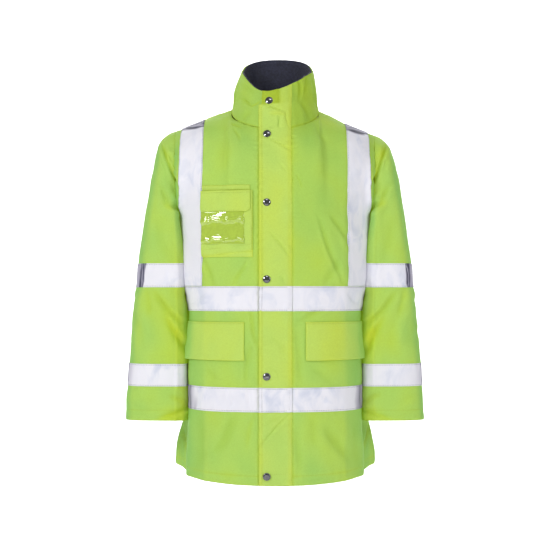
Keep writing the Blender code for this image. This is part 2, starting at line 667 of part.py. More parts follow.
def main():
    """Build the jacket."""
    for item in list(bpy.data.objects):
        bpy.data.objects.remove(item, do_unlink=True)
    holder = bpy.data.objects.new("padded_parka", None)
    bpy.context.scene.collection.objects.link(holder)

    right = front_grid(-1)
    left = front_grid(1)
    back = back_grid()
    grids = {
        "front_right": (right, False),
        "front_left": (left, False),
        "back": (back, False),
        "sleeve_right": (sleeve_grid(-1, right, back), True),
        "sleeve_left": (sleeve_grid(1, left, back), True),
        "collar": (collar_grid(right, back, left), False),
    }
    for grid, closed in grids.values():
        drop_left_shoulder(grid)
    seams = find_seams(grids)
    add_folds(grids, seams)
    normals = shared_directions(grids, seams)

    shell = (SHELL_COLOUR, 0.8, 0.0)
    trim = (TRIM_COLOUR, 0.8, 0.0)
    tape = (TAPE_COLOUR, 0.4, 0.2)

    for name, (grid, closed) in grids.items():
        add_sheet(name, grid, normals[name], -WALL, WALL, shell, holder, closed)

    # Dark inner collar
    collar, collar_out = grids["collar"][0], normals["collar"]
    inner_collar = collar[1:].copy()
    rim = collar[-1] - collar[-2]
    inner_collar[-1] += rim / np.linalg.norm(rim, axis=1)[:, None] * COLLAR_RIM_RISE
    start = -WALL - GAP - LINING_THICK
    lining = (LINING_COLOUR, 0.95, 0.0)
    add_sheet("collar_lining", inner_collar, collar_out[1:], start, LINING_THICK, lining, holder)

    # Storm flap over the front opening and the collar
    last = FLAP_COLUMN
    body = np.hstack([right[:, -last - 1:], left[:, :last + 1]])
    body_out = np.hstack([normals["front_right"][:, -last - 1:], normals["front_left"][:, :last + 1]])
    stand = np.hstack([collar[1:, -last - 1:], collar[1:, :last + 1]])
    stand_out = np.hstack([collar_out[1:, -last - 1:], collar_out[1:, :last + 1]])
    flap = np.vstack([body, stand])
    flap_out = np.vstack([body_out, stand_out])
    add_sheet("storm_flap", flap, flap_out, GAP, FLAP_THICK, trim, holder)

    # Reflective bands round the body
    flap_top = GAP + FLAP_THICK + GAP
    for label, rows in (("lower", LOW_BAND_ROWS), ("upper", HIGH_BAND_ROWS)):
        for side, name in ((-1, "front_right"), (1, "front_left")):
            columns = span(side, FLAP_COLUMN, len(FRONT_COLUMNS) - 1)
            base, out = piece(grids[name][0], normals[name], rows, columns)
            add_sheet("band_" + label + "_" + name, base, out, GAP, TAPE_THICK, tape, holder)
        base, out = piece(flap, flap_out, rows, (0, flap.shape[1] - 1))
        add_sheet("band_" + label + "_storm_flap", base, out, flap_top, TAPE_THICK, tape, holder)
        base, out = piece(back, normals["back"], rows, (0, back.shape[1] - 1))
        add_sheet("band_" + label + "_back", base, out, GAP, TAPE_THICK, tape, holder)

    # Reflective braces from the upper band over the shoulder to the back
    first = HIGH_BAND_ROWS[1]
    end = len(FRONT_COLUMNS) - 1
    for side, name in ((-1, "right"), (1, "left")):
        panel = "front_" + name
        columns = span(side, *BRACE_COLUMNS)
        base, out = piece(grids[panel][0], normals[panel], (first, len(right) - 1), columns)
        if side > 0:
            behind = (end - BRACE_COLUMNS[1], end - BRACE_COLUMNS[0])
        else:
            shift = back.shape[1] - 1 - end
            behind = (shift + BRACE_COLUMNS[0], shift + BRACE_COLUMNS[1])
        rear, rear_out = piece(back, normals["back"], (first, len(back) - 2), behind)
        base = np.vstack([base, rear[::-1, ::-1]])
        out = np.vstack([out, rear_out[::-1, ::-1]])
        add_sheet("brace_" + name, base, out, GAP, TAPE_THICK, tape, holder)

    # Reflective bands round the sleeves
    for name in ("sleeve_right", "sleeve_left"):
        for label, rows in (("upper", HIGH_SLEEVE_BAND), ("lower", LOW_SLEEVE_BAND)):
            grid = grids[name][0]
            base, out = piece(grid, normals[name], rows, (0, grid.shape[1] - 1))
            title = "band_" + label + "_" + name
            add_sheet(title, base, out, GAP, TAPE_THICK, tape, holder, True)

    # Chest pocket on the wearer's right
    out_right = normals["front_right"]
    base, out = piece(right, out_right, POCKET_ROWS, span(-1, *POCKET_COLUMNS))
    add_sheet("chest_pocket", base, out, GAP, POCKET_THICK, trim, holder)
    base, out = piece(right, out_right, POCKET_STRIP_ROWS, span(-1, *POCKET_COLUMNS))
    add_sheet("chest_pocket_strip", base, out, GAP, POCKET_THICK, trim, holder)
    second = GAP + POCKET_THICK + GAP
    base, out = piece(right, out_right, POCKET_FLAP_ROWS, span(-1, *POCKET_COLUMNS))
    add_sheet("chest_pocket_flap", base, out, second, POCKET_THICK, trim, holder)
    base, out = piece(right, out_right, WINDOW_ROWS, span(-1, *WINDOW_COLUMNS))
    window = (WINDOW_COLOUR, 0.1, 0.0)
    add_sheet("chest_pocket_window", base, out, second, WINDOW_THICK, window, holder)

    # Lower pocket flaps, which stand off the body towards their free edge
    for side, name in ((-1, "right"), (1, "left")):
        panel = "front_" + name
        columns = span(side, *LOW_FLAP_COLUMNS)
        base, out = piece(grids[panel][0], normals[panel], LOW_FLAP_ROWS, columns)
        low = np.zeros(base.shape[:2])
        for i in range(base.shape[0]):
            for j in range(base.shape[1]):
                down = 1.0 - i / (base.shape[0] - 1)
                outer = j / (base.shape[1] - 1) if side > 0 else 1 - j / (base.shape[1] - 1)
                low[i, j] = GAP + down * (0.0015 + 0.0055 * outer ** 3)
        add_sheet("pocket_flap_" + name, base, out, low, FLAP_THICK, trim, holder)

    # Snaps on the storm flap
    points, faces = snap_solid()
    for name, x, z in SNAP_PLACES:
        place, facing = seat_on(flap, flap_out, GAP + FLAP_THICK, x, z, SNAP_RADIUS)
        snap = add_object(name, points, faces, (METAL_COLOUR, 0.25, 1.0), holder)
        turn = Vector((0, 0, 1)).rotation_difference(Vector(facing))
        snap.rotation_mode = "QUATERNION"
        snap.rotation_quaternion = turn
        snap.location = Vector(place) + turn @ Vector((0, 0, SNAP_TOP / 2))


main()
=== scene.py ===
"""High-visibility padded parka jacket: cloth, tape, pockets and snaps on its fixed frame.

Metres, Z up. The jacket's front faces -Y and the wearer's left is +X.
"""

import math

import bmesh
import bpy
import numpy as np
from bpy.props import FloatProperty, FloatVectorProperty, IntProperty, PointerProperty
from mathutils import Matrix, Vector


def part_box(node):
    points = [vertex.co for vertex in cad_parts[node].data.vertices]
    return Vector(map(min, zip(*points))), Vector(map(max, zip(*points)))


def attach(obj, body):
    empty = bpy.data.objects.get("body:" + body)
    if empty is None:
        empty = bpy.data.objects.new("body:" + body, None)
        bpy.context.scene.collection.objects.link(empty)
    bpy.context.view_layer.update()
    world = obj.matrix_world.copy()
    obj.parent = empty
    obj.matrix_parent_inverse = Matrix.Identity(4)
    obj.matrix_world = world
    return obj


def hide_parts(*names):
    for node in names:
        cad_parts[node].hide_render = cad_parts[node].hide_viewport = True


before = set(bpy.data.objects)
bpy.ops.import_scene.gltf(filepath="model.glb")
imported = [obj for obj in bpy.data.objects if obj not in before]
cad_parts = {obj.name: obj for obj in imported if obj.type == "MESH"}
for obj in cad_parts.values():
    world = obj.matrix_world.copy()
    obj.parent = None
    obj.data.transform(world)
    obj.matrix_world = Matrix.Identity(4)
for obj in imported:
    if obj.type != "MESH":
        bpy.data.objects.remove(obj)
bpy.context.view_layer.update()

bl_info = {
    "name": "Padded Parka",
    "version": (1, 0, 0),
    "blender": (4, 5, 0),
    "location": "3D View > Sidebar > Parka",
    "description": "Builds a high-visibility padded parka jacket piece by piece",
    "category": "Object",
}


def metres(rows):
    """Rows of whole tenths of a millimetre as rows of metres."""
    return [tuple(value / 10000 for value in row) for row in rows]


# Shape of the jacket, as in its solids

ARMPIT_Z = -0.2526
HEM_Z = -0.82
NECK_FRONT_Z = -0.054
NECK_BACK_Z = 0.025
SHOULDER_TIP = (0.222, 0.0, -0.0450)
SHOULDER_POINT_X = 0.101
NECK_FRONT_Y = -0.110
NECK_BACK_Y = 0.075
COLLAR_HALF_WIDTH = 0.082
COLLAR_FRONT_Y = -0.098
COLLAR_BACK_Y = 0.062
MIRROR = np.array([-1.0, 1.0, 1.0])

# Body, in tenths of a millimetre: z, then the half-widths that the front, the side and the
# back follow, the front depth and the back depth
BODY = metres([
    (-8200, 2040, 1880, 2540, 1500, 1480), (-7900, 2035, 1880, 2535, 1500, 1480),
    (-7400, 2010, 1885, 2450, 1500, 1470), (-6800, 1970, 1895, 2270, 1490, 1460),
    (-6400, 1945, 1920, 2095, 1480, 1450), (-5900, 1940, 1935, 1960, 1480, 1440),
    (-5000, 1925, 1925, 1930, 1470, 1410), (-4400, 1950, 1945, 1945, 1460, 1400),
    (-3900, 2055, 2045, 2030, 1460, 1410), (-3200, 2085, 2080, 2060, 1440, 1430),
    (-2526, 2120, 2154, 2110, 1400, 1430),
])
SECTION_POWER = 2.6
FRONT_TURN = 74.0
BACK_TURN = 58.0
HEM_LIFT = 0.010
HEM_LIFT_REACH = 0.11
BACK_HEM_LIFT = 0.016
LEFT_SHOULDER_DROP = 0.009

ROW_Z = [
    -0.820, -0.799, -0.765, -0.730, -0.696, -0.663, -0.637, -0.611, -0.583, -0.554,
    -0.526, -0.498, -0.471, -0.444, -0.4195, -0.395, -0.364, -0.333, -0.305, -0.279,
    -0.2526, -0.2358, -0.212, -0.190, -0.178,
]
ROWS_TO_SHOULDER = 8
ARMPIT_ROW = 20
TOP_ROW = len(ROW_Z) - 1 + ROWS_TO_SHOULDER
LOW_BAND_ROWS = (5, 7)
LOW_FLAP_ROWS = (9, 12)
HIGH_BAND_ROWS = (13, 15)

# Panel columns from the middle to the side: x on the wearer's right, x on the left (or 0
# where the angles place it), angle on the front, angle on the back, x at the top edge
FRONT_COLUMNS = [
    (0.0010, 0.0010, 0, 0, 0.0010),
    (0.0174, 0.0185, 0, 0, 0.0180),
    (0.0347, 0.0370, 0, 0, 0.0355),
    (0.0470, 0.0500, 0, 0, 0.0500),
    (0.0650, 0.0650, 0, 0, 0.0670),
    (0.0830, 0.0830, 0, 0, 0.0840),
    (0.1000, 0.1000, 0, 0, 0.0955),
    (0.1180, 0.1180, 0, 0, 0.1010),
    (0.1380, 0.1380, 0, 0, 0.1280),
    (0.1570, 0.1570, 0, 0, 0.1555),
    (0.0, 0.0, 66, 62, 0.1800),
    (0.0, 0.0, 80, 74, 0.2065),
    (0.0, 0.0, 86, 83, 0.2150),
    (0.0, 0.0, 90, 90, 0.2220),
]
LAST = len(FRONT_COLUMNS) - 1
NECK_CORNER = 7
BACK_MIDDLE = [(0.0950, 0.0875), (0.0650, 0.0620), (0.0330, 0.0320), (0.0, 0.0)]
BACK_LAST = 2 * (LAST - NECK_CORNER + len(BACK_MIDDLE))

# Collar: angle from the middle of the front and z of its top edge
COLLAR_TOP = [
    (-180, 0.126), (-150, 0.122), (-120, 0.109), (-90, 0.088), (-72, 0.078),
    (-55, 0.062), (-37, 0.041), (-20, 0.029), (-12, 0.0272), (0, 0.031),
    (8, 0.0345), (22, 0.0445), (37, 0.055), (55, 0.070), (72, 0.081), (90, 0.089),
    (120, 0.109), (150, 0.122), (180, 0.126),
]
COLLAR_ROWS = [0.0, 0.07, 0.25, 0.45, 0.65, 0.84, 1.0]

# Sleeve rings, in tenths of a millimetre: inner x, inner z, outer x, outer z, half depth,
# middle y
SLEEVE = metres([
    (2154, -2526, 2220, -450, 720, 0), (2176, -2572, 2400, -530, 735, 0),
    (2186, -2642, 2560, -680, 745, 0), (2172, -2722, 2645, -910, 750, 0),
    (2142, -2808, 2718, -1240, 750, 0), (2112, -2902, 2792, -1640, 750, 10),
    (2082, -3005, 2858, -2080, 745, 20), (2052, -3125, 2932, -2540, 740, 30),
    (2022, -3265, 3000, -3000, 730, 30), (1992, -3444, 3062, -3444, 720, 30),
    (1967, -3707, 3085, -3707, 710, 30), (1947, -3970, 3105, -3970, 700, 30),
    (1927, -4240, 3130, -4240, 685, 20), (1907, -4520, 3165, -4520, 665, 0),
    (1900, -4800, 3190, -4800, 645, -20), (1896, -5090, 3215, -5090, 625, -40),
    (1895, -5370, 3240, -5370, 605, -50), (1895, -5652, 3265, -5652, 585, -60),
    (1895, -5900, 3280, -5900, 565, -70), (1895, -6148, 3300, -6148, 550, -80),
    (1898, -6410, 3320, -6410, 530, -90), (1902, -6680, 3330, -6680, 510, -100),
    (1906, -6940, 3345, -6940, 490, -110),
])
SLEEVE_BLEND_RINGS = 6
SLEEVE_POWER = 2.7
SLEEVE_ROOM = 0.0035
SLEEVE_SOFTNESS = 0.0060
FLAP_ROOM = 0.0036
FLAP_ROOM_Z = -0.5125
FLAP_ROOM_REACH = 0.110
HIGH_SLEEVE_BAND = (9, 11)
LOW_SLEEVE_BAND = (17, 19)

SNAPS = ("snap_collar", "snap_neck", "snap_chest", "snap_waist", "snap_hip", "snap_hem")

# Cloth: the panels lined inside, the thicknesses of what lies on them and the thin edges
BODY_NODES = ("front_right", "front_left", "back")
GAP = 0.0003
FLAP_THICK = 0.003
POCKET_THICK = 0.0016
FOLDED_EDGE = 0.0022
TAPE_SHELL = 0.0005

# Painted glow: a constant yellow-green emission on the shell cloth and the pocket film. It stands
# in for the cloth's fluorescence and for light bouncing into its folds.
PAINTED_FLUORESCENT_GLOW = (0.72, 1.0, 0.02, 1.0)

# Seam lines: dip, pucker and painted yellow glow
TAPE_EDGE = (0.0002, 0.0004, 0.0)

# Uneven waves: seed, number of waves, shortest and longest wave
SWELLS = ((0.0010, (11, 14, 0.09, 0.22)), (0.00035, (23, 18, 0.03, 0.06)))
TONE_WAVES = (31, 12, 0.06, 0.25)
TAPE_WAVES = (41, 16, 0.012, 0.034)
BRACE_WAVES = (43, 16, 0.012, 0.040)
LINING_WAVES = (51, 9, 0.03, 0.07)
TAPE_ROUGH = 0.0003
BRACE_ROUGH = 0.00035

# Creases, listed by the side they face. In tenths of a millimetre: start across, start z,
# end across, end z, half-width and depth; then the steepness of one flank and the painted
# yellow glow, where they aren't 1 and 0. Across is x on the front and back and y on the left and
# right.
# A negative depth is a ridge. The sleeve's rows are for the wearer's right sleeve and are
# repeated, a little changed, on the left one.
CREASE_STRENGTH = 1.3
CREASE_WIDTH = 0.72
SLEEVE_CREASES = {
    "front": [
        (-2513, -804, -2121, -1738, 52, 40, -1.5, 0.6),
        (-2330, -900, -2080, -1650, 130, -10, 1, 0.7), (-2440, -900, -2290, -1180, 60, 20, 1, 0.3),
        (-2470, -1180, -2370, -1420, 50, 14), (-2340, -780, -2350, -1250, 55, -12),
        (-2530, -1780, -2105, -2440, 120, 34, 1.6, 0.3),
        (-2420, -2120, -2140, -2330, 80, 20, 1, 0.6), (-2620, -2500, -2360, -3300, 160, 20),
        (-2640, -4120, -2060, -4760, 110, 46, -2.0, 0.5),
        (-2400, -4560, -1960, -5450, 110, 48, -1.8, 0.7),
        (-2980, -4300, -2690, -5200, 150, -30, 1, -0.3),
        (-2830, -4020, -2740, -4600, 80, 16, 1, 0.3),
        (-3180, -6480, -2700, -6640, 110, -18, 1, -0.2),
        (-2560, -6880, -1950, -6640, 90, 36, 1.6, 1.0),
        (-2300, -6320, -1990, -6560, 100, 22, 1, 0.5),
    ],
    "back": [
        (-2620, -900, -2260, -1800, 100, 44, 2.0, 0.6),
        (-2560, -1750, -2120, -2400, 130, 40, 1.6, 0.5),
        (-2920, -4050, -2280, -4650, 90, 55, -1.8, 0.6),
        (-2800, -4700, -2220, -5200, 100, 42, -1.8, 0.6),
    ],
    "right": [
        (-500, -4120, 400, -4360, 110, 14, 1, 0.2), (-450, -4840, 450, -5020, 130, 12, 1, 0.1),
        (-400, -1150, 100, -1850, 120, 18, 1, 0.1),
    ],
}
BODY_CREASES = {
    "front": [
        (-960, -390, -740, -500, 60, 22, 1.6, 0.5), (-860, -560, -750, -800, 60, 18, 1.5, 0.5),
        (880, -420, 1050, -800, 90, 16), (480, -1580, 570, -1840, 40, 12, 1.5, 0.3),
        (960, -2600, 1400, -3760, 100, 30, 1.8, 0), (1230, -2440, 1620, -3080, 110, 28, 1.6, 0),
        (1400, -3350, 1100, -3880, 130, 22), (-620, -3430, -850, -3880, 80, 22, 1.5, 0.3),
        (-1560, -3300, -1300, -4000, 90, 24, 1.4, 0), (-1820, -4360, -1540, -4140, 60, 20),
        (1600, -4150, 1820, -4330, 80, 24), (1050, -4450, 500, -4700, 90, 22),
        (-520, -4520, -400, -5200, 80, 22, 1.6, 0.5),
        (-560, -5200, -620, -6000, 110, 24, 1.6, 0.4), (480, -4800, 520, -6000, 100, 20),
        (800, -5700, 1300, -6020, 140, 18), (-1500, -5680, -1300, -6000, 120, 18),
        (-1000, -6150, -960, -6450, 50, 12), (-560, -6080, -520, -6560, 60, 16),
        (-840, -6720, -1340, -7560, 220, 36, 1.5, 0), (-1550, -6700, -1660, -7900, 180, 30),
        (-440, -6680, -600, -7400, 80, 16, 1, 0.4), (1100, -6950, 1600, -7750, 200, 36, 1.5, 0),
        (760, -6720, 900, -7300, 140, 18), (470, -7050, 500, -7900, 110, 22),
        (1740, -6900, 1780, -7900, 140, 26), (-2120, -7300, -2020, -7700, 50, 34, 1.6, 0.9),
        (2130, -7240, 2030, -7640, 50, 34, -1.6, 0.9), (-110, -200, 200, -220, 35, -22, 1, 0.6),
        (-180, -60, 100, -150, 30, 18, 1, 0.4), (70, -290, 80, -520, 45, 18, 1.4, -0.4),
        (210, -180, 270, -480, 40, 14, 1, 0.3), (-150, -765, 320, -1030, 50, 14, 1.5, 0.2),
        (60, -1300, 260, -1500, 50, 9), (-80, -2830, 300, -3310, 55, 18, 1.6, 0),
        (100, -3720, 220, -3860, 60, 12, 1, -0.3), (-60, -5000, 220, -5350, 80, 10),
        (-120, -5650, 100, -5900, 60, 10), (270, -6680, -260, -7260, 55, 20, 1.6, 0.2),
        (150, -6700, -200, -6900, 60, 10), (520, 640, 530, 140, 50, 34, 1.8, 0.1),
        (690, 680, 660, 280, 50, 30, 1.5, 0.1), (600, 100, 760, -300, 80, 24),
        (-760, 180, -500, -30, 50, 24, 1.6, 0.3), (-500, -30, -330, 60, 35, 22, 1, 1.0),
        (-700, 460, -440, 260, 90, 18, 1, -0.2), (-560, -120, -690, -350, 90, 16, 1, 0.2),
    ],
    "left": [
        (-400, 700, -300, 0, 70, 20, 1, -0.2),
    ],
    "right": [
        (-300, 600, -200, 0, 70, 18),
    ],
    "back": [
        (-500, 1000, -380, 450, 80, 22), (300, 1050, 420, 500, 90, 20),
        (-1650, -1200, -1150, -3300, 200, 45, 1.5, 0),
        (1650, -1250, 1180, -3400, 200, 45, -1.5, 0), (-600, -200, -850, -1200, 140, 20),
        (600, -220, 880, -1150, 140, 20), (-1200, -3600, -600, -3920, 140, 20),
        (1300, -3520, 700, -3880, 140, 20), (-1400, -4600, -850, -5900, 180, 30, 1.5, 0),
        (1420, -4700, 800, -6000, 180, 30, -1.5, 0), (-300, -4600, -200, -6000, 200, 18),
        (-1100, -6800, -1250, -8150, 220, 34), (580, -6800, 500, -8150, 240, 34),
        (1500, -6900, 1650, -8150, 200, 30), (-300, -6900, -340, -8150, 220, -26),
        (1000, -6900, 1080, -8150, 220, -26),
    ],
}

# Painted shade on the tape, as grey: its share by how squarely the tape faces front or back, 0
# side on,
# 1 face on. On the braces it goes by how far the tape leans from level at the top of the shoulder.
TURNED_PAINTED_SHADE = {
    "upper_sleeve": ((0.0, 0.15, 0.35, 0.52, 0.60, 0.66, 0.71, 0.735, 0.77, 0.80, 0.835, 0.86),
                     (0.25, 0.45, 0.35, 0.42, 0.75, 1.0, 0.5, 0.2, 0.9, 0.95, 0.4, 0.0)),
    "lower_sleeve": ((0.0, 0.20, 0.32, 0.45, 0.70, 0.90), (0.5, 0.7, 0.5, 0.2, 0.1, 0.0)),
    "lower_body": ((0.0, 0.20, 0.30, 0.40, 0.50, 0.60, 0.66),
                   (0.4, 0.65, 0.3, 0.7, 0.42, 0.2, 0.0)),
    "upper_body": ((0.0, 0.15, 0.30, 0.50), (0.6, 0.5, 0.15, 0.0)),
    "brace": ((0.0, 0.06, 0.09, 0.12, 0.15, 0.19, 0.22, 0.24, 0.28),
              (1.0, 1.0, 0.45, 0.9, 0.35, 1.0, 1.0, 0.3, 0.0)),
}

STORE = {}


def step(value, start=0.0, reach=1.0):
    """An eased step from 0 at the start to 1 at the end of its reach."""
    t = np.clip((value - start) / reach, 0.0, 1.0)
    return t * t * (3 - 2 * t)


def hill(value, centre, reach):
    """A soft hill, 1 high, round a centre."""
    return np.exp(-((value - centre) / reach) ** 2)


def cubic(t, start, end, leave, arrive):
    """A cubic curve between two values with the slopes it leaves and arrives with."""
    rise = (2 * t ** 3 - 3 * t ** 2 + 1) * start + (3 * t ** 2 - 2 * t ** 3) * end
    return rise + (t ** 3 - 2 * t ** 2 + t) * leave + (t ** 3 - t ** 2) * arrive


def smooth(xs, ys, x):
    """A smooth curve through the points (xs, ys), read at x."""
    x = min(max(x, xs[0]), xs[-1])
    i = min(max(int(np.searchsorted(xs, x)) - 1, 0), len(xs) - 2)
    slopes = np.gradient(np.asarray(ys, float), np.asarray(xs, float))
    h = xs[i + 1] - xs[i]
    return float(cubic((x - xs[i]) / h, ys[i], ys[i + 1], slopes[i] * h, slopes[i + 1] * h))


def body_value(column, z):
    """One column of the body table at a height."""
    return smooth([row[0] for row in BODY], [row[column] for row in BODY], z)


def section_point(z, angle, back):
    """A point on the body's level section: angle 0 at the middle, 90 at the side."""
    side = body_value(2, z)
    wide = body_value(3 if back else 1, z)
    depth = body_value(5 if back else 4, z)
    start = BACK_TURN if back else FRONT_TURN
    width = wide + (side - wide) * step(angle, start, 90.0 - start)
    turn = math.radians(angle)
    power = 2.0 / SECTION_POWER
    x = width * math.sin(turn) ** power
    y = depth * max(math.cos(turn), 0.0) ** power
    near_hem = max(0.0, 1.0 - (z - HEM_Z) / HEM_LIFT_REACH)
    if back:
        z += BACK_HEM_LIFT * near_hem * step(x, 0.190, 0.040)
    else:
        z += HEM_LIFT * near_hem * (x / side) ** 2 * min(y / 0.06, 1.0)
    return np.array([x, y if back else -y, z])


def angle_of(x, z, back):
    """The section angle at which the body's half-section passes x."""
    width = body_value(3 if back else 1, z)
    return math.degrees(math.asin(min(x / width, 1.0) ** (SECTION_POWER / 2.0)))


def top_point(x, back):
    """A point of the panel's top edge: the neck seam, then the shoulder seam."""
    if x <= SHOULDER_POINT_X:
        turn = math.asin(x / SHOULDER_POINT_X)
        y = (NECK_BACK_Y if back else NECK_FRONT_Y) * math.cos(turn)
        z = (NECK_BACK_Z if back else NECK_FRONT_Z) * math.cos(turn)
        return np.array([x, y, z])
    share = (x - SHOULDER_POINT_X) / (SHOULDER_TIP[0] - SHOULDER_POINT_X)
    return np.array([x, 0.0, SHOULDER_TIP[2] * share])


def upper_column(x, angle, x_top, back):
    """The upper part of a panel column as a curve of t, from armpit level to its top."""
    start_angle = angle if angle else angle_of(x, ARMPIT_Z, back)
    start = section_point(ARMPIT_Z, start_angle, back)
    end = top_point(x_top, back)
    out = 1.0 if back else -1.0
    across = end[0] - start[0]
    side_share = step(start_angle, 55.0, 35.0)
    rise = np.array([across, out * (0.29 * side_share - 0.01), 0.25 - 0.13 * side_share])
    lean = min(x_top / SHOULDER_POINT_X, 1.0) ** 2
    pull = 0.06 + 0.38 * lean - 0.15 * side_share
    outward = step(x_top, SHOULDER_POINT_X, 0.08)
    neck_lift = 0.19 - 0.29 * lean if back else 0.19
    fall = np.array([across, -out * pull, neck_lift + (0.05 - neck_lift) * outward])

    def curve(t):
        return cubic(t, start, end, rise, fall)

    return curve


def column_points(x, angle, x_top, back):
    """All the points of one panel column, from the hem to the top edge."""
    points = []
    for z in ROW_Z[:ARMPIT_ROW + 1]:
        points.append(section_point(z, angle if angle else angle_of(x, z, back), back))
    curve = upper_column(x, angle, x_top, back)
    share = 0.0
    for z in ROW_Z[ARMPIT_ROW + 1:]:
        low, high = 0.0, 1.0
        for _ in range(40):
            share = 0.5 * (low + high)
            if curve(share)[2] < z:
                low = share
            else:
                high = share
        points.append(curve(share))
    for i in range(1, ROWS_TO_SHOULDER + 1):
        points.append(curve(share + (1.0 - share) * i / ROWS_TO_SHOULDER))
    return points


def front_grid(side):
    """One front panel, its columns in order of rising x."""
    columns = []
    for at_right, at_left, angle, _, x_top in FRONT_COLUMNS:
        columns.append(column_points(at_left if side > 0 else at_right, angle, x_top, False))
    grid = np.array(columns).transpose(1, 0, 2)
    if side < 0:
        grid = grid[:, ::-1] * MIRROR
    return grid.copy()


def back_grid():
    """The back panel, its columns in order of falling x."""
    half = []
    for _, x, _, angle, x_top in FRONT_COLUMNS[:NECK_CORNER - 1:-1]:
        half.append(column_points(x, angle, x_top, True))
    for x, x_top in BACK_MIDDLE:
        half.append(column_points(x, 0, x_top, True))
    mirrored = [[point * MIRROR for point in column] for column in half[-2::-1]]
    return np.array(half + mirrored).transpose(1, 0, 2).copy()


def collar_top_point(neck):
    """The point of the collar's top edge above a point of the neck seam."""
    x = neck[0]
    share = min(abs(x) / SHOULDER_POINT_X, 1.0)
    half = abs(x) * (1.0 - (1.0 - COLLAR_HALF_WIDTH / SHOULDER_POINT_X) * share ** 2)
    turn = math.asin(min(half / COLLAR_HALF_WIDTH, 1.0))
    depth = COLLAR_FRONT_Y if neck[1] < -1e-9 else COLLAR_BACK_Y
    angle = math.degrees(turn) if neck[1] < 1e-9 else 180.0 - math.degrees(turn)
    shift = 0.002 + 0.0035 * share ** 2 if neck[1] < 1e-9 else 0.0055
    z = smooth([a for a, _ in COLLAR_TOP], [v for _, v in COLLAR_TOP], math.copysign(angle, x))
    return np.array([math.copysign(half, x) + shift, depth * math.cos(turn), z])


def collar_grid(right, back, left):
    """The collar from the wearer's left of centre front, round the back, to the right."""
    neck = list(left[-1, :NECK_CORNER + 1]) + list(back[-1, NECK_CORNER:-NECK_CORNER])
    neck += list(right[-1, -NECK_CORNER - 1:])
    grid = np.zeros((len(COLLAR_ROWS), len(neck), 3))
    for j, base in enumerate(neck):
        top = collar_top_point(base)
        outward = np.array([base[0] + top[0], base[1] + top[1] + 0.03, 0.0])
        outward /= np.linalg.norm(outward)
        swell = 0.0035 - 0.0035 * step(outward[0], -0.2)
        for i, share in enumerate(COLLAR_ROWS):
            point = base + (top - base) * share
            grid[i, j] = point + outward * swell * math.sin(math.pi * share)
    return grid


def body_side(y, z):
    """How far the body reaches sideways at a depth and a height."""
    back = y > 0
    share = min(abs(y) / body_value(5 if back else 4, z), 1.0)
    angle = math.degrees(math.acos(share ** (SECTION_POWER / 2.0)))
    return section_point(z, angle, back)[0]


def beside_body(point):
    """Move a point of the left sleeve out so that it lies softly against the body."""
    x, y, z = point
    if z >= ARMPIT_Z:
        return point
    room = SLEEVE_ROOM * step(z, ARMPIT_Z, -0.015)
    room += FLAP_ROOM * (1.0 - step(abs(z - FLAP_ROOM_Z) / FLAP_ROOM_REACH))
    reach = body_side(y, z) + room
    over = x - reach
    if over > SLEEVE_SOFTNESS:
        return point
    if over > -SLEEVE_SOFTNESS:
        reach += (over + SLEEVE_SOFTNESS) ** 2 / (4.0 * SLEEVE_SOFTNESS)
    return np.array([reach, y, z])


def ring_point(row, turn):
    """A point of a sleeve ring for the left sleeve: turn 0 under the arm, pi on top."""
    inner = np.array([row[0], row[5], row[1]])
    outer = np.array([row[2], row[5], row[3]])
    power = 2.0 / SLEEVE_POWER
    across = math.copysign(abs(math.cos(turn)) ** power, math.cos(turn))
    forward = math.copysign(abs(math.sin(turn)) ** power, math.sin(turn))
    point = 0.5 * (inner + outer) + 0.5 * (inner - outer) * across
    return point + np.array([0.0, -row[4] * forward, 0.0])


def run_along(points):
    """The length from the first place to each one, as the mean over a grid's lines."""
    steps = np.linalg.norm(np.diff(points, axis=0), axis=-1)
    return np.concatenate([[0.0], np.cumsum(steps.reshape(len(steps), -1).mean(axis=1))])


def sleeve_grid(side, front, back):
    """A sleeve: rings from the armhole to the cuff, the first point repeated at the end."""
    at_front, at_back = (-1, 0) if side > 0 else (0, -1)
    flip = np.array([side, 1.0, 1.0])
    hole = list(front[ARMPIT_ROW:, at_front]) + list(back[-2:ARMPIT_ROW:-1, at_back])
    hole = np.array(hole) * flip
    top = len(front) - 1 - ARMPIT_ROW
    run = run_along(np.vstack([hole, hole[:1]]))
    turns = []
    for j in range(len(hole)):
        if j <= top:
            turns.append(math.pi * run[j] / run[top])
        else:
            turns.append(math.pi + math.pi * (run[j] - run[top]) / (run[-1] - run[top]))
    grid = np.zeros((len(SLEEVE), len(hole), 3))
    for k, row in enumerate(SLEEVE):
        keep = 1.0 - step(k / SLEEVE_BLEND_RINGS)
        for j, turn in enumerate(turns):
            shift = hole[j] - ring_point(SLEEVE[0], turn)
            grid[k, j] = beside_body(ring_point(row, turn) + keep * shift)
    grid[0] = hole
    return grid * flip


def drop_left_shoulder(grid):
    """Let the wearer's left shoulder hang a little lower than the right one."""
    share = step(grid[..., 0], 0.085, 0.075) * step(grid[..., 2], ARMPIT_Z, 0.170)
    grid[..., 2] -= LEFT_SHOULDER_DROP * share


# Fine cloth over those shapes


def refine(values, finer, closed=False):
    """Smooth curves through the entries along the first axis, read at finer places."""
    count = len(values)
    if closed:
        slopes = (np.roll(values, -1, axis=0) - np.roll(values, 1, axis=0)) / 2
        cells = count
    else:
        slopes = np.gradient(values, axis=0)
        cells = count - 1
    places = np.linspace(0.0, cells, cells * finer + 1)
    i = np.minimum(places.astype(int), cells - 1)
    t = (places - i).reshape((-1,) + (1,) * (values.ndim - 1))
    n = (i + 1) % count
    return cubic(t, values[i], values[n], slopes[i], slopes[n])


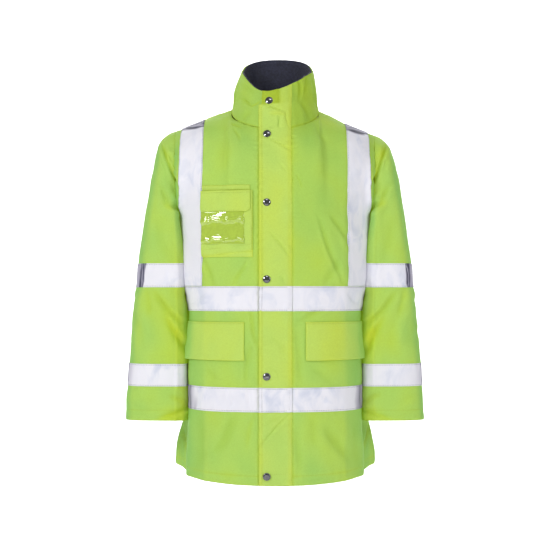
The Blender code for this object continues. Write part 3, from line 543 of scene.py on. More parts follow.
def surface_normals(points, closed, outward):
    """Outward unit directions of a fine grid of points."""
    if closed:
        ring = points[:, :-1]
        along = np.roll(ring, -1, axis=1) - np.roll(ring, 1, axis=1)
        along = np.concatenate([along, along[:, :1]], axis=1)
    else:
        along = np.gradient(points, axis=1)
    normals = np.cross(along, np.gradient(points, axis=0))
    normals /= np.linalg.norm(normals, axis=2)[:, :, None] + 1e-12
    return normals if np.sum(normals * outward) > 0 else -normals


def waves(points, seed, count, shortest, longest):
    """Gentle uneven swelling made of many crossing waves."""
    dice = np.random.default_rng(seed)
    total = np.zeros(points.shape[:-1])
    for _ in range(count):
        way = dice.normal(size=3)
        way /= np.linalg.norm(way)
        length = dice.uniform(shortest, longest)
        total += np.sin(points @ way * (2 * math.pi / length) + dice.uniform(0, 6.283))
    return total / math.sqrt(count)


def crease_rows(table):
    """The rows of a crease table: facing, four places, half-width, depth, flank, painted glow."""
    rows = []
    for facing, group in table.items():
        for entry in group:
            rows.append((facing, *metres([entry[:6]])[0], *(entry[6:] or (1, 0))))
    return rows


def all_creases():
    """Every crease, with the wearer's left sleeve's made from the right one's."""
    sleeve = crease_rows(SLEEVE_CREASES)
    rows = crease_rows(BODY_CREASES) + sleeve
    for facing, a0, z0, a1, z1, width, depth, steep, painted_glow_share in sleeve:
        if facing == "right":
            rows.append(("left", a0, z0 - 0.004, a1, z1 - 0.004, width, depth, steep, painted_glow_share))
        else:
            shift = 0.004 * math.sin(a0 * 300.0 + z1 * 170.0)
            rows.append((facing, -a0, z0 + shift, -a1, z1 + shift, width * 1.05,
                         depth * (0.95 + 20.0 * shift), -steep, painted_glow_share))
    return rows


def crease_relief(points, normals):
    """How far the listed creases move the cloth outwards, and the yellow glow painted along them.
    """
    height, painted_glow = np.zeros(points.shape[:-1]), np.zeros(points.shape[:-1])
    for facing, a0, z0, a1, z1, width, depth, steep, painted_glow_share in all_creases():
        width = CREASE_WIDTH * width
        k = 0 if facing in ("front", "back") else 1
        across, up = points[..., k] - a0, points[..., 2] - z0
        looks = normals[..., 1 - k] * (1.0 if facing in ("back", "left") else -1.0)
        run = math.hypot(a1 - a0, z1 - z0)
        da, dz = (a1 - a0) / run, (z1 - z0) / run
        along = (across * da + up * dz) / run
        aside = across * dz - up * da + 0.25 * width * np.sin(along * 5.0 + a0 * 90.0)
        aside = aside * math.copysign(1.0, steep)
        fade = np.exp(-np.abs((along - 0.5) / 0.52) ** 4) * step(looks, 0.05, 0.35)
        near = width / abs(steep)
        shape = hill(aside, 0.0, np.where(aside > 0, near, width))
        shape -= 0.45 * hill(aside, 1.8 * near, 1.2 * near)
        shape -= 0.35 * hill(aside, -1.9 * width, 1.3 * width)
        height -= depth * fade * shape
        painted_glow += painted_glow_share * fade * hill(aside, 0.3 * near, width)
    return height, painted_glow


def facing_body(points, normals):
    """How squarely a sleeve's cloth faces the body: 1 on its inner side, -1 outside."""
    return -np.sign(points[..., 0]) * normals[..., 0]


def form_relief(points, normals, name):
    """Where the cloth is fuller or slimmer than the plain panels.

    The collar is slimmer at its lower sides. The sleeves are fuller along the inner front and
    at the elbow, the body at the hips and at the shoulders beside the neck.
    """
    x, z = np.abs(points[..., 0]), points[..., 2]
    if name == "collar":
        slim = hill(z, 0.012, 0.020) * step(np.abs(normals[..., 0]), 0.3, 0.5)
        return -np.where(points[..., 0] < 0, 0.0050, 0.0034) * slim
    if name.startswith("sleeve"):
        inward = facing_body(points, normals)
        lip = hill(points[..., 1], -0.060, 0.020) * step(inward, -0.15, 0.9)
        turned = hill(inward, 0.80, 0.45) * step(-normals[..., 1], -0.30, 0.5)
        reach = 0.0045 + 0.0065 * step(z, -0.42, 0.05) + 0.0035 * step(z, -0.53, -0.03)
        reach = reach * step(z, -0.180, -0.03)
        elbow = 0.0035 * hill(z, -0.417, 0.013) + 0.0020 * hill(z, -0.487, 0.011)
        elbow += 0.0018 * hill(z, -0.452, 0.030)
        inner = reach * lip + 0.0030 * turned * step(z, -0.18, -0.04)
        return inner + elbow * step(-inward, 0.2, 0.5)
    hips = 0.0028 * step(np.abs(normals[..., 0]), 0.6, 0.3) * hill(z, -0.585, 0.055)
    return hips + 0.0028 * hill(x, 0.136, 0.026) * step(normals[..., 2], 0.35, 0.4)


def inner_sleeve_painted_glow(points, normals):
    """Painted glow: the sleeve's inner side, where it faces the body's cloth, is painted warmer.
    """
    inward, z = facing_body(points, normals), points[..., 2]
    painted_glow = 0.50 * step(inward, 0.05, 0.7) * step(z, -0.22, -0.15)
    low = hill(z, -0.520, 0.050) + 1.4 * hill(z, -0.680, 0.028)
    return painted_glow + 0.95 * low * step(inward, -0.35, 0.8)


def form_shade(points, normals, name):
    """Where folds keep the light off: the collar, the neck, the shoulder seams, the chest."""
    x, z = points[..., 0], points[..., 2]
    if name == "collar":
        return 0.25 + 0.75 * step(x, 0.005, 0.05) * step(normals[..., 1], 0.4, -0.5)
    if name.startswith("sleeve") or name == "flap":
        return np.zeros(x.shape)
    shoulder = 0.7 * hill(np.abs(x), 0.195, 0.012) * step(z, -0.13, 0.06)
    neck = 0.8 * hill(np.abs(x), 0.05, 0.05) * hill(z, -0.015, 0.04)
    return shoulder + neck + 0.35 * step(x, 0.02, 0.03) * step(z, -0.42, 0.25)


def seam_relief(distance, along, seed, dip, pucker):
    """The dip of a sewn seam and the small puckers that run out from it."""
    ripple = np.sin(along * 2 * math.pi / 0.019 + 2.1 * np.sin(along * 31.0 + seed))
    ripple = ripple * (0.6 + 0.4 * np.sin(along * 57.0 + 2.0 * seed))
    return pucker * ripple * hill(distance, 0.0, 0.012) - dip * hill(distance, 0.0, 0.0035)


def square_side_seams(fine, normals, armpit):
    """Point the directions along a body panel's side seams straight out sideways."""
    for edge in (0, -1):
        if abs(fine[0, edge, 0]) > 0.15:
            seam = normals[:armpit + 1, edge]
            seam[:, 1] = 0.0
            seam /= np.linalg.norm(seam, axis=1)[:, None]


class Cloth:
    """A fine grid of points on one panel, with outward directions and flat lengths."""

    def __init__(self, name, grid, finer, closed=False, seams=(), seed=1):
        self.closed, self.finer, self.shape = closed, finer, grid.shape[:2]
        sleeve = name.startswith("sleeve")
        fine = refine(grid, finer[0])
        fine = refine(fine.transpose(1, 0, 2), finer[1], closed).transpose(1, 0, 2)
        if closed:
            outward = fine - fine[:, :-1].mean(axis=1)[:, None, :]
        else:
            outward = fine * np.array([1.0, 1.0, 0.0])
        if sleeve:
            fine[..., 2] += 0.0030 * step(fine[..., 2], -0.660, -0.03)
        rows, columns = fine.shape[:2]
        self.row = np.linspace(0.0, (rows - 1) / finer[0], rows)
        self.column = np.linspace(0.0, (columns - 1) / finer[1], columns)
        self.up, self.on = run_along(fine), run_along(fine.transpose(1, 0, 2))
        normals = surface_normals(fine, closed, outward)
        if name in BODY_NODES:
            square_side_seams(fine, normals, ARMPIT_ROW * finer[0])

        height, painted_glow = crease_relief(fine, normals)
        height = CREASE_STRENGTH * height * sizes().crease_depth
        if sleeve:
            height = height * step(self.up[-1] - self.up, 0.0, 0.016)[:, None]
            painted_glow += inner_sleeve_painted_glow(fine, normals)
        # Painted shade: the colour is darkened in crease troughs and in form_shade's folds, and
        # below along seam dips.
        painted_shade = np.clip(-height / 0.0160, 0.0, 1.0) + 0.5 * form_shade(fine, normals, name)
        height = height + form_relief(fine, normals, name)
        for size, pattern in SWELLS:
            height += size * waves(fine, *pattern) * sizes().swell
        for kind, place, dip, pucker, painted_glow_share in seams:
            if kind == "row":
                distance = np.abs(self.up - np.interp(place, self.row, self.up))[:, None]
                along = self.on[None, :]
            else:
                distance = np.abs(self.on - np.interp(place, self.column, self.on))[None, :]
                along = self.up[:, None]
            height += seam_relief(distance, along, seed + place, dip, pucker)
            # Painted yellow glow and painted shade along each seam line.
            painted_glow = painted_glow + painted_glow_share * hill(distance, 0.0, 0.0045)
            painted_shade = painted_shade + min(0.35, 200.0 * dip) * hill(distance, 0.0, 0.0022)

        self.points = fine + normals * height[:, :, None]
        self.normals = surface_normals(self.points, closed, outward)
        # Painted shade: cloth turned sideways, away from the middle of the body, is painted
        # greener, as less light falls there.
        side = 0.0 if name == "collar" else 0.20 * step(np.abs(normals[..., 0]), 0.50, 0.45)
        side = side * step(np.abs(fine[..., 0]), 0.12, 0.04)
        # The tone holds the painted yellow glow of creases and seams, less the painted green shade
        # of the sides.
        self.tone = 0.5 + 0.15 * np.clip(painted_glow, -1.0, 1.6) - side
        self.tone += 0.05 * waves(fine, *TONE_WAVES)
        self.painted_shade = painted_shade

    def read(self, grid, row, column):
        """The values of a fine grid at grid places, which may lie between rows."""
        r = np.clip(np.asarray(row, float) * self.finer[0], 0, len(self.row) - 1.000001)
        c = np.clip(np.asarray(column, float) * self.finer[1], 0, len(self.column) - 1.000001)
        i, j = r.astype(int), c.astype(int)
        s, t = r - i, c - j
        if grid.ndim == 3:
            s, t = s[..., None], t[..., None]
        low = grid[i, j] * (1 - t) + grid[i, j + 1] * t
        return low * (1 - s) + (grid[i + 1, j] * (1 - t) + grid[i + 1, j + 1] * t) * s

    def at(self, row, column):
        """Points and outward directions at grid places."""
        normals = self.read(self.normals, row, column)
        normals /= np.linalg.norm(normals, axis=-1)[..., None]
        return self.read(self.points, row, column), normals

    def place_up(self, row):
        """The flat length from the first row to a row."""
        return np.interp(row, self.row, self.up)

    def place_on(self, column):
        """The flat length from the first column to a column."""
        return np.interp(column, self.column, self.on)


def sizes():
    """The sizes that a user may change."""
    return bpy.context.scene.parka_sizes


def colours():
    """The colours that a user may change."""
    return bpy.context.scene.parka_colours


def lines(kind, places, dip, pucker, painted_glow_share):
    """Seam lines of one kind on a panel."""
    return [(kind, float(place), dip, pucker, painted_glow_share) for place in places]


def body_seams():
    """The seam lines across the fronts and the back: tape, hem stitching, hem and top."""
    return (lines("row", LOW_BAND_ROWS + HIGH_BAND_ROWS, *TAPE_EDGE)
            + lines("row", (1.0,), 0.0005, 0.0005, 0.35)
            + lines("row", (0.0,), 0.0008, 0.0005, 0.25)
            + lines("row", (TOP_ROW,), 0.0005, 0.0005, 0.6))


def front_cloth(name, grid, edge, flap_edge, braces, seed):
    """The fine cloth of one front panel."""
    seams = body_seams() + lines("column", (edge,), 0.0004, 0.0010, 0.1)
    seams += lines("column", (flap_edge,), 0.0006, 0.0008, 0.6)
    seams += lines("column", braces, *TAPE_EDGE)
    return Cloth(name, grid, (8, 8), False, seams, seed)


def cloths():
    """The fine cloth of every panel, made once."""
    if STORE:
        return STORE
    right, left, back = front_grid(-1), front_grid(1), back_grid()
    sleeves = [sleeve_grid(-1, right, back), sleeve_grid(1, left, back)]
    collar = collar_grid(right, back, left)
    for grid in [right, left, back, collar] + sleeves:
        drop_left_shoulder(grid)
    STORE["front_right"] = front_cloth("front_right", right, 0, LAST - 2,
                                       (LAST - 9, LAST - 11), 3)
    STORE["front_left"] = front_cloth("front_left", left, LAST, 2, (9, 11), 5)
    seams = body_seams() + lines("column", (0, BACK_LAST), 0.0005, 0.0009, 0.1)
    seams += lines("column", (2, 4, BACK_LAST - 2, BACK_LAST - 4), *TAPE_EDGE)
    STORE["back"] = Cloth("back", back, (4, 5), False, seams, 7)
    ring = lines("row", HIGH_SLEEVE_BAND + LOW_SLEEVE_BAND, *TAPE_EDGE)
    ring += lines("row", (0.0,), 0.0006, 0.0011, 0.1) + lines("row", (22.0,), 0.0008, 0.0008, 0.4)
    ring += lines("row", (21.0,), 0.0003, 0.0003, 0.1)
    for name, grid, seed in (("sleeve_right", sleeves[0], 9), ("sleeve_left", sleeves[1], 13)):
        STORE[name] = Cloth(name, grid, (9, 5), True, ring, seed)
    rims = lines("row", (0.0,), 0.0006, 0.0006, 0.6)
    rims += lines("row", (len(COLLAR_ROWS) - 1,), 0.0006, 0.0004, 0.1)
    STORE["collar"] = Cloth("collar", collar, (8, 5), False, rims, 15)
    middle = np.hstack([right[:, -3:-1], (right[:, -1:] + left[:, :1]) / 2, left[:, 1:3]])
    rows = collar[1:]
    stand = np.hstack([rows[:, -3:-1], (rows[:, -1:] + rows[:, :1]) / 2, rows[:, 1:3]])
    flap = lines("row", LOW_BAND_ROWS + HIGH_BAND_ROWS, *TAPE_EDGE)
    flap += lines("column", (0.0, 0.40), 0.0004, 0.0006, 0.5)
    flap += lines("column", (3.6, 4.0), 0.0004, 0.0004, 0.4)
    STORE["flap"] = Cloth("flap", np.vstack([middle, stand]), (9, 12), False, flap, 17)
    return STORE


# Meshes


def no_inset(place):
    """No inset at any place."""
    return 0.0 * place


def corner(radius):
    """The inset of a rounded corner, as a function of the distance from the piece's end."""

    def inset(distance):
        depth = np.clip(radius - distance, 0.0, radius)
        return radius - np.sqrt(np.maximum(radius ** 2 - depth ** 2, 0.0))

    return inset


def patch_places(cloth, rows, columns, spacing=0.004, left=no_inset, right=no_inset, low=no_inset):
    """Row and column places, and flat lengths, of a four-sided patch on a cloth.

    Left and right take the length up from the patch's lower end, low takes the share across.
    Each gives how far that side is drawn in, in metres.
    """
    bottom, top = cloth.place_up(rows[0]), cloth.place_up(rows[1])
    first, last = cloth.place_on(columns[0]), cloth.place_on(columns[1])
    shares = []
    for length in (top - bottom, last - first):
        even = np.linspace(0.0, 1.0, max(2, int(round(length / spacing))) + 1)
        edge = 0.0008 / length
        shares.append(np.unique(np.concatenate([even, [edge, 1 - edge]])))
    s, t = np.meshgrid(shares[0], shares[1], indexing="ij")
    up = bottom + low(t) + (top - bottom - low(t)) * s
    start, end = left(up - bottom), right(up - bottom)
    on = first + start + (last - first - start - end) * t
    return np.interp(up, cloth.up, cloth.row), np.interp(on, cloth.on, cloth.column), up, on


def from_edge(up, on):
    """The distance of each place from the nearest side of a patch."""
    return np.minimum.reduce([up - up.min(0, keepdims=True), up.max(0, keepdims=True) - up,
                              on - on.min(1, keepdims=True), on.max(1, keepdims=True) - on])


def fold_over(near):
    """0 at an edge and 1 further in, round like a folded edge."""
    return np.sqrt(1.0 - (1.0 - np.clip(near / FOLDED_EDGE, 0.0, 1.0)) ** 2)


def make_object(name, bm, kind):
    """A named object of one look in the scene, from a bmesh."""
    mesh = bpy.data.meshes.new(name)
    bm.to_mesh(mesh)
    bm.free()
    mesh.materials.append(look(kind))
    item = bpy.data.objects.new(name, mesh)
    bpy.context.scene.collection.objects.link(item)
    return item


def sheet_piece(title, node, points, normals, up, on, kind, thickness,
                merge=False, tints=None, inside=None):
    """A cloth piece on a grid of points, its UVs laid at its flat size and a thickness added."""
    rows, columns = points.shape[:2]
    bm = bmesh.new()
    bmesh.ops.create_grid(bm, x_segments=columns - 1, y_segments=rows - 1, size=0.5)
    uv = bm.loops.layers.uv.new("UVMap")
    layers = {key: bm.verts.layers.float.new(key) for key in tints or {}}
    places = {}
    for v in bm.verts:
        j = int(round((v.co.x + 0.5) * (columns - 1)))
        i = int(round((v.co.y + 0.5) * (rows - 1)))
        places[v.index] = (i, j)
        v.co = Vector(points[i, j])
        for key, layer in layers.items():
            v[layer] = float(tints[key][i, j])
    facing = 0.0
    bm.normal_update()
    for face in bm.faces:
        face.smooth = True
        i, j = places[face.loops[0].vert.index]
        facing += face.normal.dot(Vector(normals[i, j]))
        for loop in face.loops:
            i, j = places[loop.vert.index]
            loop[uv].uv = (on[i, j], up[i, j])
    if merge:
        bmesh.ops.remove_doubles(bm, verts=bm.verts, dist=0.00001)
    if facing < 0:
        bmesh.ops.reverse_faces(bm, faces=bm.faces)
    surface = sum(f.calc_area() for f in bm.faces)
    item = make_object(title, bm, kind)
    shell = item.modifiers.new("Thickness", "SOLIDIFY")
    shell.thickness = thickness
    shell.offset = -1.0
    shell.use_rim = True
    if inside:
        item.data.materials.append(look(inside))
        shell.material_offset = 1
    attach(item, "root")
    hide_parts(node)


def whole_piece(node):
    """A panel's whole cloth as one piece, the body's panels with the dark lining inside."""
    cloth = cloths()[node]
    up = np.repeat(cloth.up[:, None], len(cloth.on), axis=1)
    on = np.repeat(cloth.on[None, :], len(cloth.up), axis=0)
    sheet_piece(node + "_cloth", node, cloth.points, cloth.normals, up, on, "shell_cloth",
                sizes().cloth_thickness, cloth.closed, {"tone": cloth.tone, "painted_shade": cloth.painted_shade},
                "collar_lining" if node in BODY_NODES else None)


def patch_piece(title, node, cloth, rows, columns, start, thick, kind, shell=0.0008,
                spacing=0.004, lift=None, turned=None, merge=False, tone=None, painted_shade=None,
                left=no_inset, right=no_inset, low=no_inset):
    """A cloth piece that lies on part of a panel."""
    row, column, up, on = patch_places(cloth, rows, columns, spacing, left, right, low)
    points, normals = cloth.at(row, column)
    near = np.minimum(up - up.min(), up.max() - up) if merge else from_edge(up, on)
    height = start + shell + (thick - shell) * fold_over(near)
    if turned:
        height = height + TAPE_ROUGH * waves(points, *TAPE_WAVES)
    place = (up - up.min(), on - on.min(1, keepdims=True))
    if lift:
        height = height + lift(*place)
    points = points + normals * height[..., None]
    if turned:
        tints = {"turned": turned_painted_shade(turned, points, normals)}
    else:
        tints = {"tone": 0.5 + 0.7 * (cloth.read(cloth.tone, row, column) - 0.5),
                 "painted_shade": cloth.read(cloth.painted_shade, row, column)}
        # Painted glow: every cloth patch is painted a little warmer along its edges.
        tints["tone"] = tints["tone"] + 0.04 * hill(near, 0.0, 0.0028)
        for key, change in (("tone", tone), ("painted_shade", painted_shade)):
            if change:
                tints[key] = tints[key] + change(*place)
    sheet_piece(title, node, points, normals, up, on, kind, shell, merge, tints)


def turned_painted_shade(kind, points, normals):
    """Painted shade of the tape where it has turned away: 0 on the flat faces, 1 at its darkest
    grey.
    """
    square = 1.0 - np.abs(normals[..., 2]) if kind == "brace" else np.abs(normals[..., 1])
    share = np.interp(square, *TURNED_PAINTED_SHADE[kind])
    if kind == "upper_sleeve":
        share = share * step(np.sign(points[..., 0]) * normals[..., 0] / 0.3)
    return share


# Materials


def new_look(name, **values):
    """A material, its node tree, its shader with some values set, and its coordinates."""
    material = bpy.data.materials.new(name + "_look")
    material.use_nodes = True
    tree = material.node_tree
    shader = tree.nodes["Principled BSDF"]
    for key, value in values.items():
        shader.inputs[key.replace("_", " ")].default_value = value
    return material, tree, shader, add_node(tree, "ShaderNodeTexCoord").outputs


def add_node(tree, kind, settings=(), inputs=()):
    """A node with its settings, and its inputs given values or linked to sockets."""
    node = tree.nodes.new(kind)
    for key, value in settings:
        setattr(node, key, value)
    for key, value in inputs:
        if isinstance(value, bpy.types.NodeSocket):
            tree.links.new(value, node.inputs[key])
        else:
            node.inputs[key].default_value = value
    return node


def tinted(colour, *shares):
    """A colour scaled by one share, or by one for each channel."""
    return tuple(k * v for k, v in zip(shares * (3 // len(shares)), colour))


def ramp(tree, source, *stops):
    """A colour ramp through stops of place and colour; its colour output."""
    node = add_node(tree, "ShaderNodeValToRGB", (), [("Fac", source)])
    elements = node.color_ramp.elements
    while len(elements) < len(stops):
        elements.new(0.5)
    for element, (place, colour) in zip(elements, stops):
        element.position = place
        element.color = (*colour, 1.0) if isinstance(colour, tuple) else (colour,) * 3 + (1.0,)
    return node.outputs["Color"]


def noise(tree, place, scale, detail=3.0, distortion=0.0):
    """The value of a noise on the given coordinates."""
    inputs = [("Vector", place), ("Scale", scale), ("Detail", detail), ("Distortion", distortion)]
    return add_node(tree, "ShaderNodeTexNoise", (), inputs).outputs["Fac"]


def attribute(tree, name):
    """The value of one of the piece's own attributes."""
    return add_node(tree, "ShaderNodeAttribute", [("attribute_name", name)]).outputs["Fac"]


def maths(tree, operation, *values):
    """One step of arithmetic between sockets or numbers."""
    node = add_node(tree, "ShaderNodeMath", [("operation", operation)], enumerate(values))
    return node.outputs[0]


def bump(tree, shader, height, strength, distance):
    """Small relief in the shader's normal."""
    inputs = [("Height", height), ("Strength", strength), ("Distance", distance)]
    node = add_node(tree, "ShaderNodeBump", (), inputs)
    tree.links.new(node.outputs["Normal"], shader.inputs["Normal"])


def weave(tree, flat, per_metre):
    """A plain weave on the piece's own flat coordinates."""
    inputs = [("Vector", flat), ("Scale", per_metre), ("Distortion", 0.6), ("Detail", 1.0)]
    pair = [add_node(tree, "ShaderNodeTexWave", [("bands_direction", way)], inputs).outputs["Fac"]
            for way in ("X", "Y")]
    return maths(tree, "MULTIPLY", *pair)


def mixed(tree, factor, one, other, blend="MIX"):
    """Two colours mixed by a factor."""
    node = add_node(tree, "ShaderNodeMix", [("data_type", "RGBA"), ("blend_type", blend)],
                    [("Factor", factor), ("A", one), ("B", other)])
    return node.outputs["Result"]


def paint(tree, shader, colour, roughness=None):
    """Give the shader its colour, and its roughness where that varies."""
    tree.links.new(colour, shader.inputs["Base Color"])
    if roughness:
        tree.links.new(roughness, shader.inputs["Roughness"])


def shell_look(name, colour):
    """Coated fluorescent Oxford cloth: a painted glow, painted green shade on its sides, painted
    yellow glow in folds.
    """
    material, tree, shader, place = new_look(
        name, Specular_IOR_Level=0.08, Emission_Color=PAINTED_FLUORESCENT_GLOW, Emission_Strength=0.11)
    threads = weave(tree, place["UV"], 260.0)
    cloud = noise(tree, place["Object"], 9.0, 4.0)
    uneven = maths(tree, "MULTIPLY_ADD", cloud, 0.22, attribute(tree, "tone"))
    # Painted light in the tone ramp: low tones are painted greener shade, high tones a painted
    # yellow glow.
    tones = ramp(tree, uneven, (0.40, tinted(colour, 0.64, 0.86, 1.08)), (0.61, tuple(colour)),
                 (0.84, tinted(colour, 1.25, 1.03, 0.45)), (1.0, tinted(colour, 1.65, 1.05, 0.10)))
    # Painted shade: the colour is darkened, with most blue taken out, in creases, seams and folds.
    shade = ramp(tree, attribute(tree, "painted_shade"), (0.0, 1.0), (1.0, (0.66, 0.68, 0.22)))
    grain = ramp(tree, noise(tree, place["Object"], 380.0), (0.32, 0.80), (0.68, 1.0))
    for share, layer in ((1.0, shade), (0.45, grain), (0.10, threads)):
        tones = mixed(tree, share, tones, layer, "MULTIPLY")
    paint(tree, shader, tones, ramp(tree, cloud, (0.2, 0.60), (0.8, 0.76)))
    bump(tree, shader, threads, 0.35, 0.0004)
    return material


def tape_look():
    """Silver reflective tape: fine beads, painted blue-grey shade on crumples, painted grey shade
    where it turns.
    """
    material, tree, shader, place = new_look("reflective_tape", Specular_IOR_Level=0.08)
    beads = add_node(tree, "ShaderNodeTexVoronoi", (), [("Vector", place["UV"]), ("Scale", 900.0)])
    silver = tuple(colours().tape)
    # Painted shade: blue-grey patches laid by two noises, standing for the shade in the tape's
    # crumples.
    painted_crumple_shade = tinted(silver, 0.74, 0.79, 0.89)
    cloud = noise(tree, place["Object"], 7.0, 2.0)
    slant = add_node(tree, "ShaderNodeMapping", (), [
        ("Vector", place["Object"]), ("Rotation", (0.0, 0.6, 0.0)), ("Scale", (1.4, 1.0, 0.8))])
    crumple = noise(tree, slant.outputs["Vector"], 26.0, 3.0, 0.8)
    where = maths(tree, "MULTIPLY", ramp(tree, cloud, (0.42, 0.15), (0.62, 1.0)),
                  ramp(tree, crumple, (0.45, 0.0), (0.66, 0.75)))
    tones = mixed(tree, where, ramp(tree, cloud, (0.3, tinted(silver, 0.96)), (0.7, silver)),
                  ramp(tree, crumple, (0.5, painted_crumple_shade), (0.8, tinted(painted_crumple_shade, 0.92))))
    # Painted shade: the tape is painted grey, down to near black, where it turns away from front
    # and back.
    turned = attribute(tree, "turned")
    painted_turn_greys = ramp(tree, turned, (0.0, silver), (0.42, (0.36, 0.34, 0.43)),
                 (0.75, (0.13, 0.13, 0.18)), (1.0, (0.045, 0.045, 0.07)))
    tones = mixed(tree, ramp(tree, turned, (0.02, 0.0), (0.15, 1.0)), tones, painted_turn_greys)
    paint(tree, shader, tones, ramp(tree, cloud, (0.2, 0.42), (0.8, 0.55)))
    bump(tree, shader, beads.outputs["Distance"], 0.2, 0.0002)
    return material


def lining_look():
    """Dark navy brushed lining cloth."""
    material, tree, shader, place = new_look(
        "collar_lining", Roughness=0.95, Sheen_Weight=0.15, Sheen_Roughness=0.6)
    fluff = noise(tree, place["Object"], 240.0, 4.0)
    patch = noise(tree, place["Object"], 26.0, 2.0)
    both = maths(tree, "ADD", maths(tree, "MULTIPLY", fluff, 0.6),
                 maths(tree, "MULTIPLY", patch, 0.4))
    navy = colours().lining
    paint(tree, shader, ramp(tree, both, (0.35, tinted(navy, 0.6)), (0.65, tinted(navy, 1.5))))
    bump(tree, shader, weave(tree, place["UV"], 180.0), 0.5, 0.0006)
    return material


def metal_look():
    """Dark nickel snap metal with fine handling marks."""
    material, tree, shader, place = new_look("snap_metal", Metallic=1.0)
    marks = noise(tree, place["Object"], 900.0)
    metal = tuple(colours().metal)
    paint(tree, shader, ramp(tree, marks, (0.3, tinted(metal, 0.85)), (0.8, metal)),
          ramp(tree, marks, (0.3, 0.10), (0.8, 0.20)))
    return material


def window_look():
    """Clear glossy film over the pocket cloth, with a painted fluorescent glow."""
    material, tree, shader, place = new_look(
        "clear_window", Roughness=0.05, Specular_IOR_Level=0.8, Coat_Weight=1.0,
        Coat_Roughness=0.02, Emission_Color=PAINTED_FLUORESCENT_GLOW, Emission_Strength=0.08)
    crumple = noise(tree, place["Object"], 90.0, 4.0, 1.5)
    tint = tuple(colours().window)
    paint(tree, shader, ramp(tree, crumple, (0.3, tinted(tint, 0.82)), (0.75, tint)))
    bump(tree, shader, crumple, 0.12, 0.0010)
    return material


def thread_look(name, colour):
    """Sewing thread with a fine twist."""
    material, tree, shader, place = new_look(name, Roughness=0.7)
    twist = noise(tree, place["Object"], 2200.0, 2.0)
    paint(tree, shader, ramp(tree, twist, (0.3, tinted(colour, 0.7)), (0.7, colour)))
    return material


def paper_look():
    """Matt white paper."""
    material, tree, shader, place = new_look("paper", Roughness=0.9)
    cloud = noise(tree, place["Object"], 3.0, 2.0)
    paint(tree, shader, ramp(tree, cloud, (0.2, 0.94), (0.8, 0.95)))
    return material


def look(name):
    """A material by name, made when it is first asked for."""
    makers = {
        "shell_cloth": lambda: shell_look(name, colours().shell),
        "trim_cloth": lambda: shell_look(name, colours().trim),
        "yellow_thread": lambda: thread_look(name, (0.40, 0.50, 0.05)),
        "silver_thread": lambda: thread_look(name, (0.20, 0.21, 0.23)),
        "reflective_tape": tape_look,
        "collar_lining": lining_look,
        "snap_metal": metal_look,
        "clear_window": window_look,
        "paper": paper_look,
    }
    return bpy.data.materials.get(name + "_look") or makers[name]()


# What a user may change


def length(name, text, default, low, high):
    """A length that a user may change."""
    return FloatProperty(name=name, description=text, default=default, min=low, max=high,
                         unit="LENGTH")


def share(name, text, default):
    """A strength from 0 to 2 that a user may change."""
    return FloatProperty(name=name, description=text, default=default, min=0.0, max=2.0,
                         subtype="FACTOR")


def colour(name, text, default):
    """A colour that a user may change."""
    return FloatVectorProperty(name=name, description=text, size=3, min=0.0, max=1.0,
                               default=default, subtype="COLOR")


class ParkaSizes(bpy.types.PropertyGroup):
    """Sizes of the jacket's cloth and sewing."""

    cloth_thickness: length("Cloth thickness", "Thickness of the padded panels",
                            0.003, 0.001, 0.004)
    tape_thickness: length("Tape thickness", "Thickness of the reflective tape",
                           0.0008, 0.0004, 0.002)
    crease_depth: share("Crease depth", "Strength of the creases", 1.0)
    swell: share("Swell", "Strength of the padding's uneven swelling", 1.0)
    stitch_length: length("Stitch length", "Length of one stitch", 0.0026, 0.001, 0.006)
    stitch_pitch: length("Stitch pitch", "Distance from stitch to stitch", 0.0038, 0.002, 0.01)
    snap_radius: length("Snap radius", "Radius of a snap's cap", 0.0083, 0.004, 0.012)
    snap_segments: IntProperty(name="Snap segments", description="Segments round a snap",
                               default=40, min=12, max=96)


class ParkaColours(bpy.types.PropertyGroup):
    """Colours of the jacket."""

    shell: colour("Shell cloth", "Fluorescent yellow of the panels", (0.355, 0.553, 0.122))
    trim: colour("Flap cloth", "Fluorescent yellow of the flaps and pocket", (0.440, 0.600, 0.134))
    tape: colour("Tape", "Silver of the reflective tape", (0.765, 0.757, 0.812))
    lining: colour("Lining", "Navy of the inner collar", (0.020, 0.021, 0.041))
    metal: colour("Snap metal", "Dark nickel of the snaps", (0.20, 0.20, 0.21))
    window: colour("Window", "Pocket cloth seen through the film", (0.36, 0.50, 0.05))


# Operators


class PARKA_OT_panels(bpy.types.Operator):
    """Make the two fronts and the back"""

    bl_idname = "parka.panels"
    bl_label = "Body panels"

    def execute(self, context):
        for name in BODY_NODES:
            whole_piece(name)
        return {"FINISHED"}


class PARKA_OT_sleeves(bpy.types.Operator):
    """Make the sleeves"""

    bl_idname = "parka.sleeves"
    bl_label = "Sleeves"

    def execute(self, context):
        for name in ("sleeve_right", "sleeve_left"):
            whole_piece(name)
        return {"FINISHED"}


class PARKA_OT_collar(bpy.types.Operator):
    """Make the stand collar and its dark inner collar"""

    bl_idname = "parka.collar"
    bl_label = "Collar"

    def execute(self, context):
        whole_piece("collar")
        collar = cloths()["collar"]
        row, column = np.meshgrid(collar.row[9:], collar.column, indexing="ij")
        points, normals = collar.at(row, column)
        up, on = collar.place_up(row), collar.place_on(column)
        below = up.max() - up
        depth = sizes().cloth_thickness + 0.0004 + 0.0010 * hill(below, 0.007, 0.002)
        slanted = points + 0.8 * points[..., 2:] * np.array([1.0, 0.0, 0.0])
        wrinkle = waves(slanted, *LINING_WAVES)
        depth = depth + (0.0012 + 0.0012 * wrinkle) * step(below, 0.008, 0.02)
        points = points - normals * depth[..., None]
        rise = points[-1] - points[-2]
        rise /= np.linalg.norm(rise, axis=1)[:, None]
        points[-1] += rise * 0.0022
        points[-2] += rise * 0.0012
        sheet_piece("inner_collar", "collar_lining", points, normals, up, on,
                    "collar_lining", 0.0016)
        return {"FINISHED"}


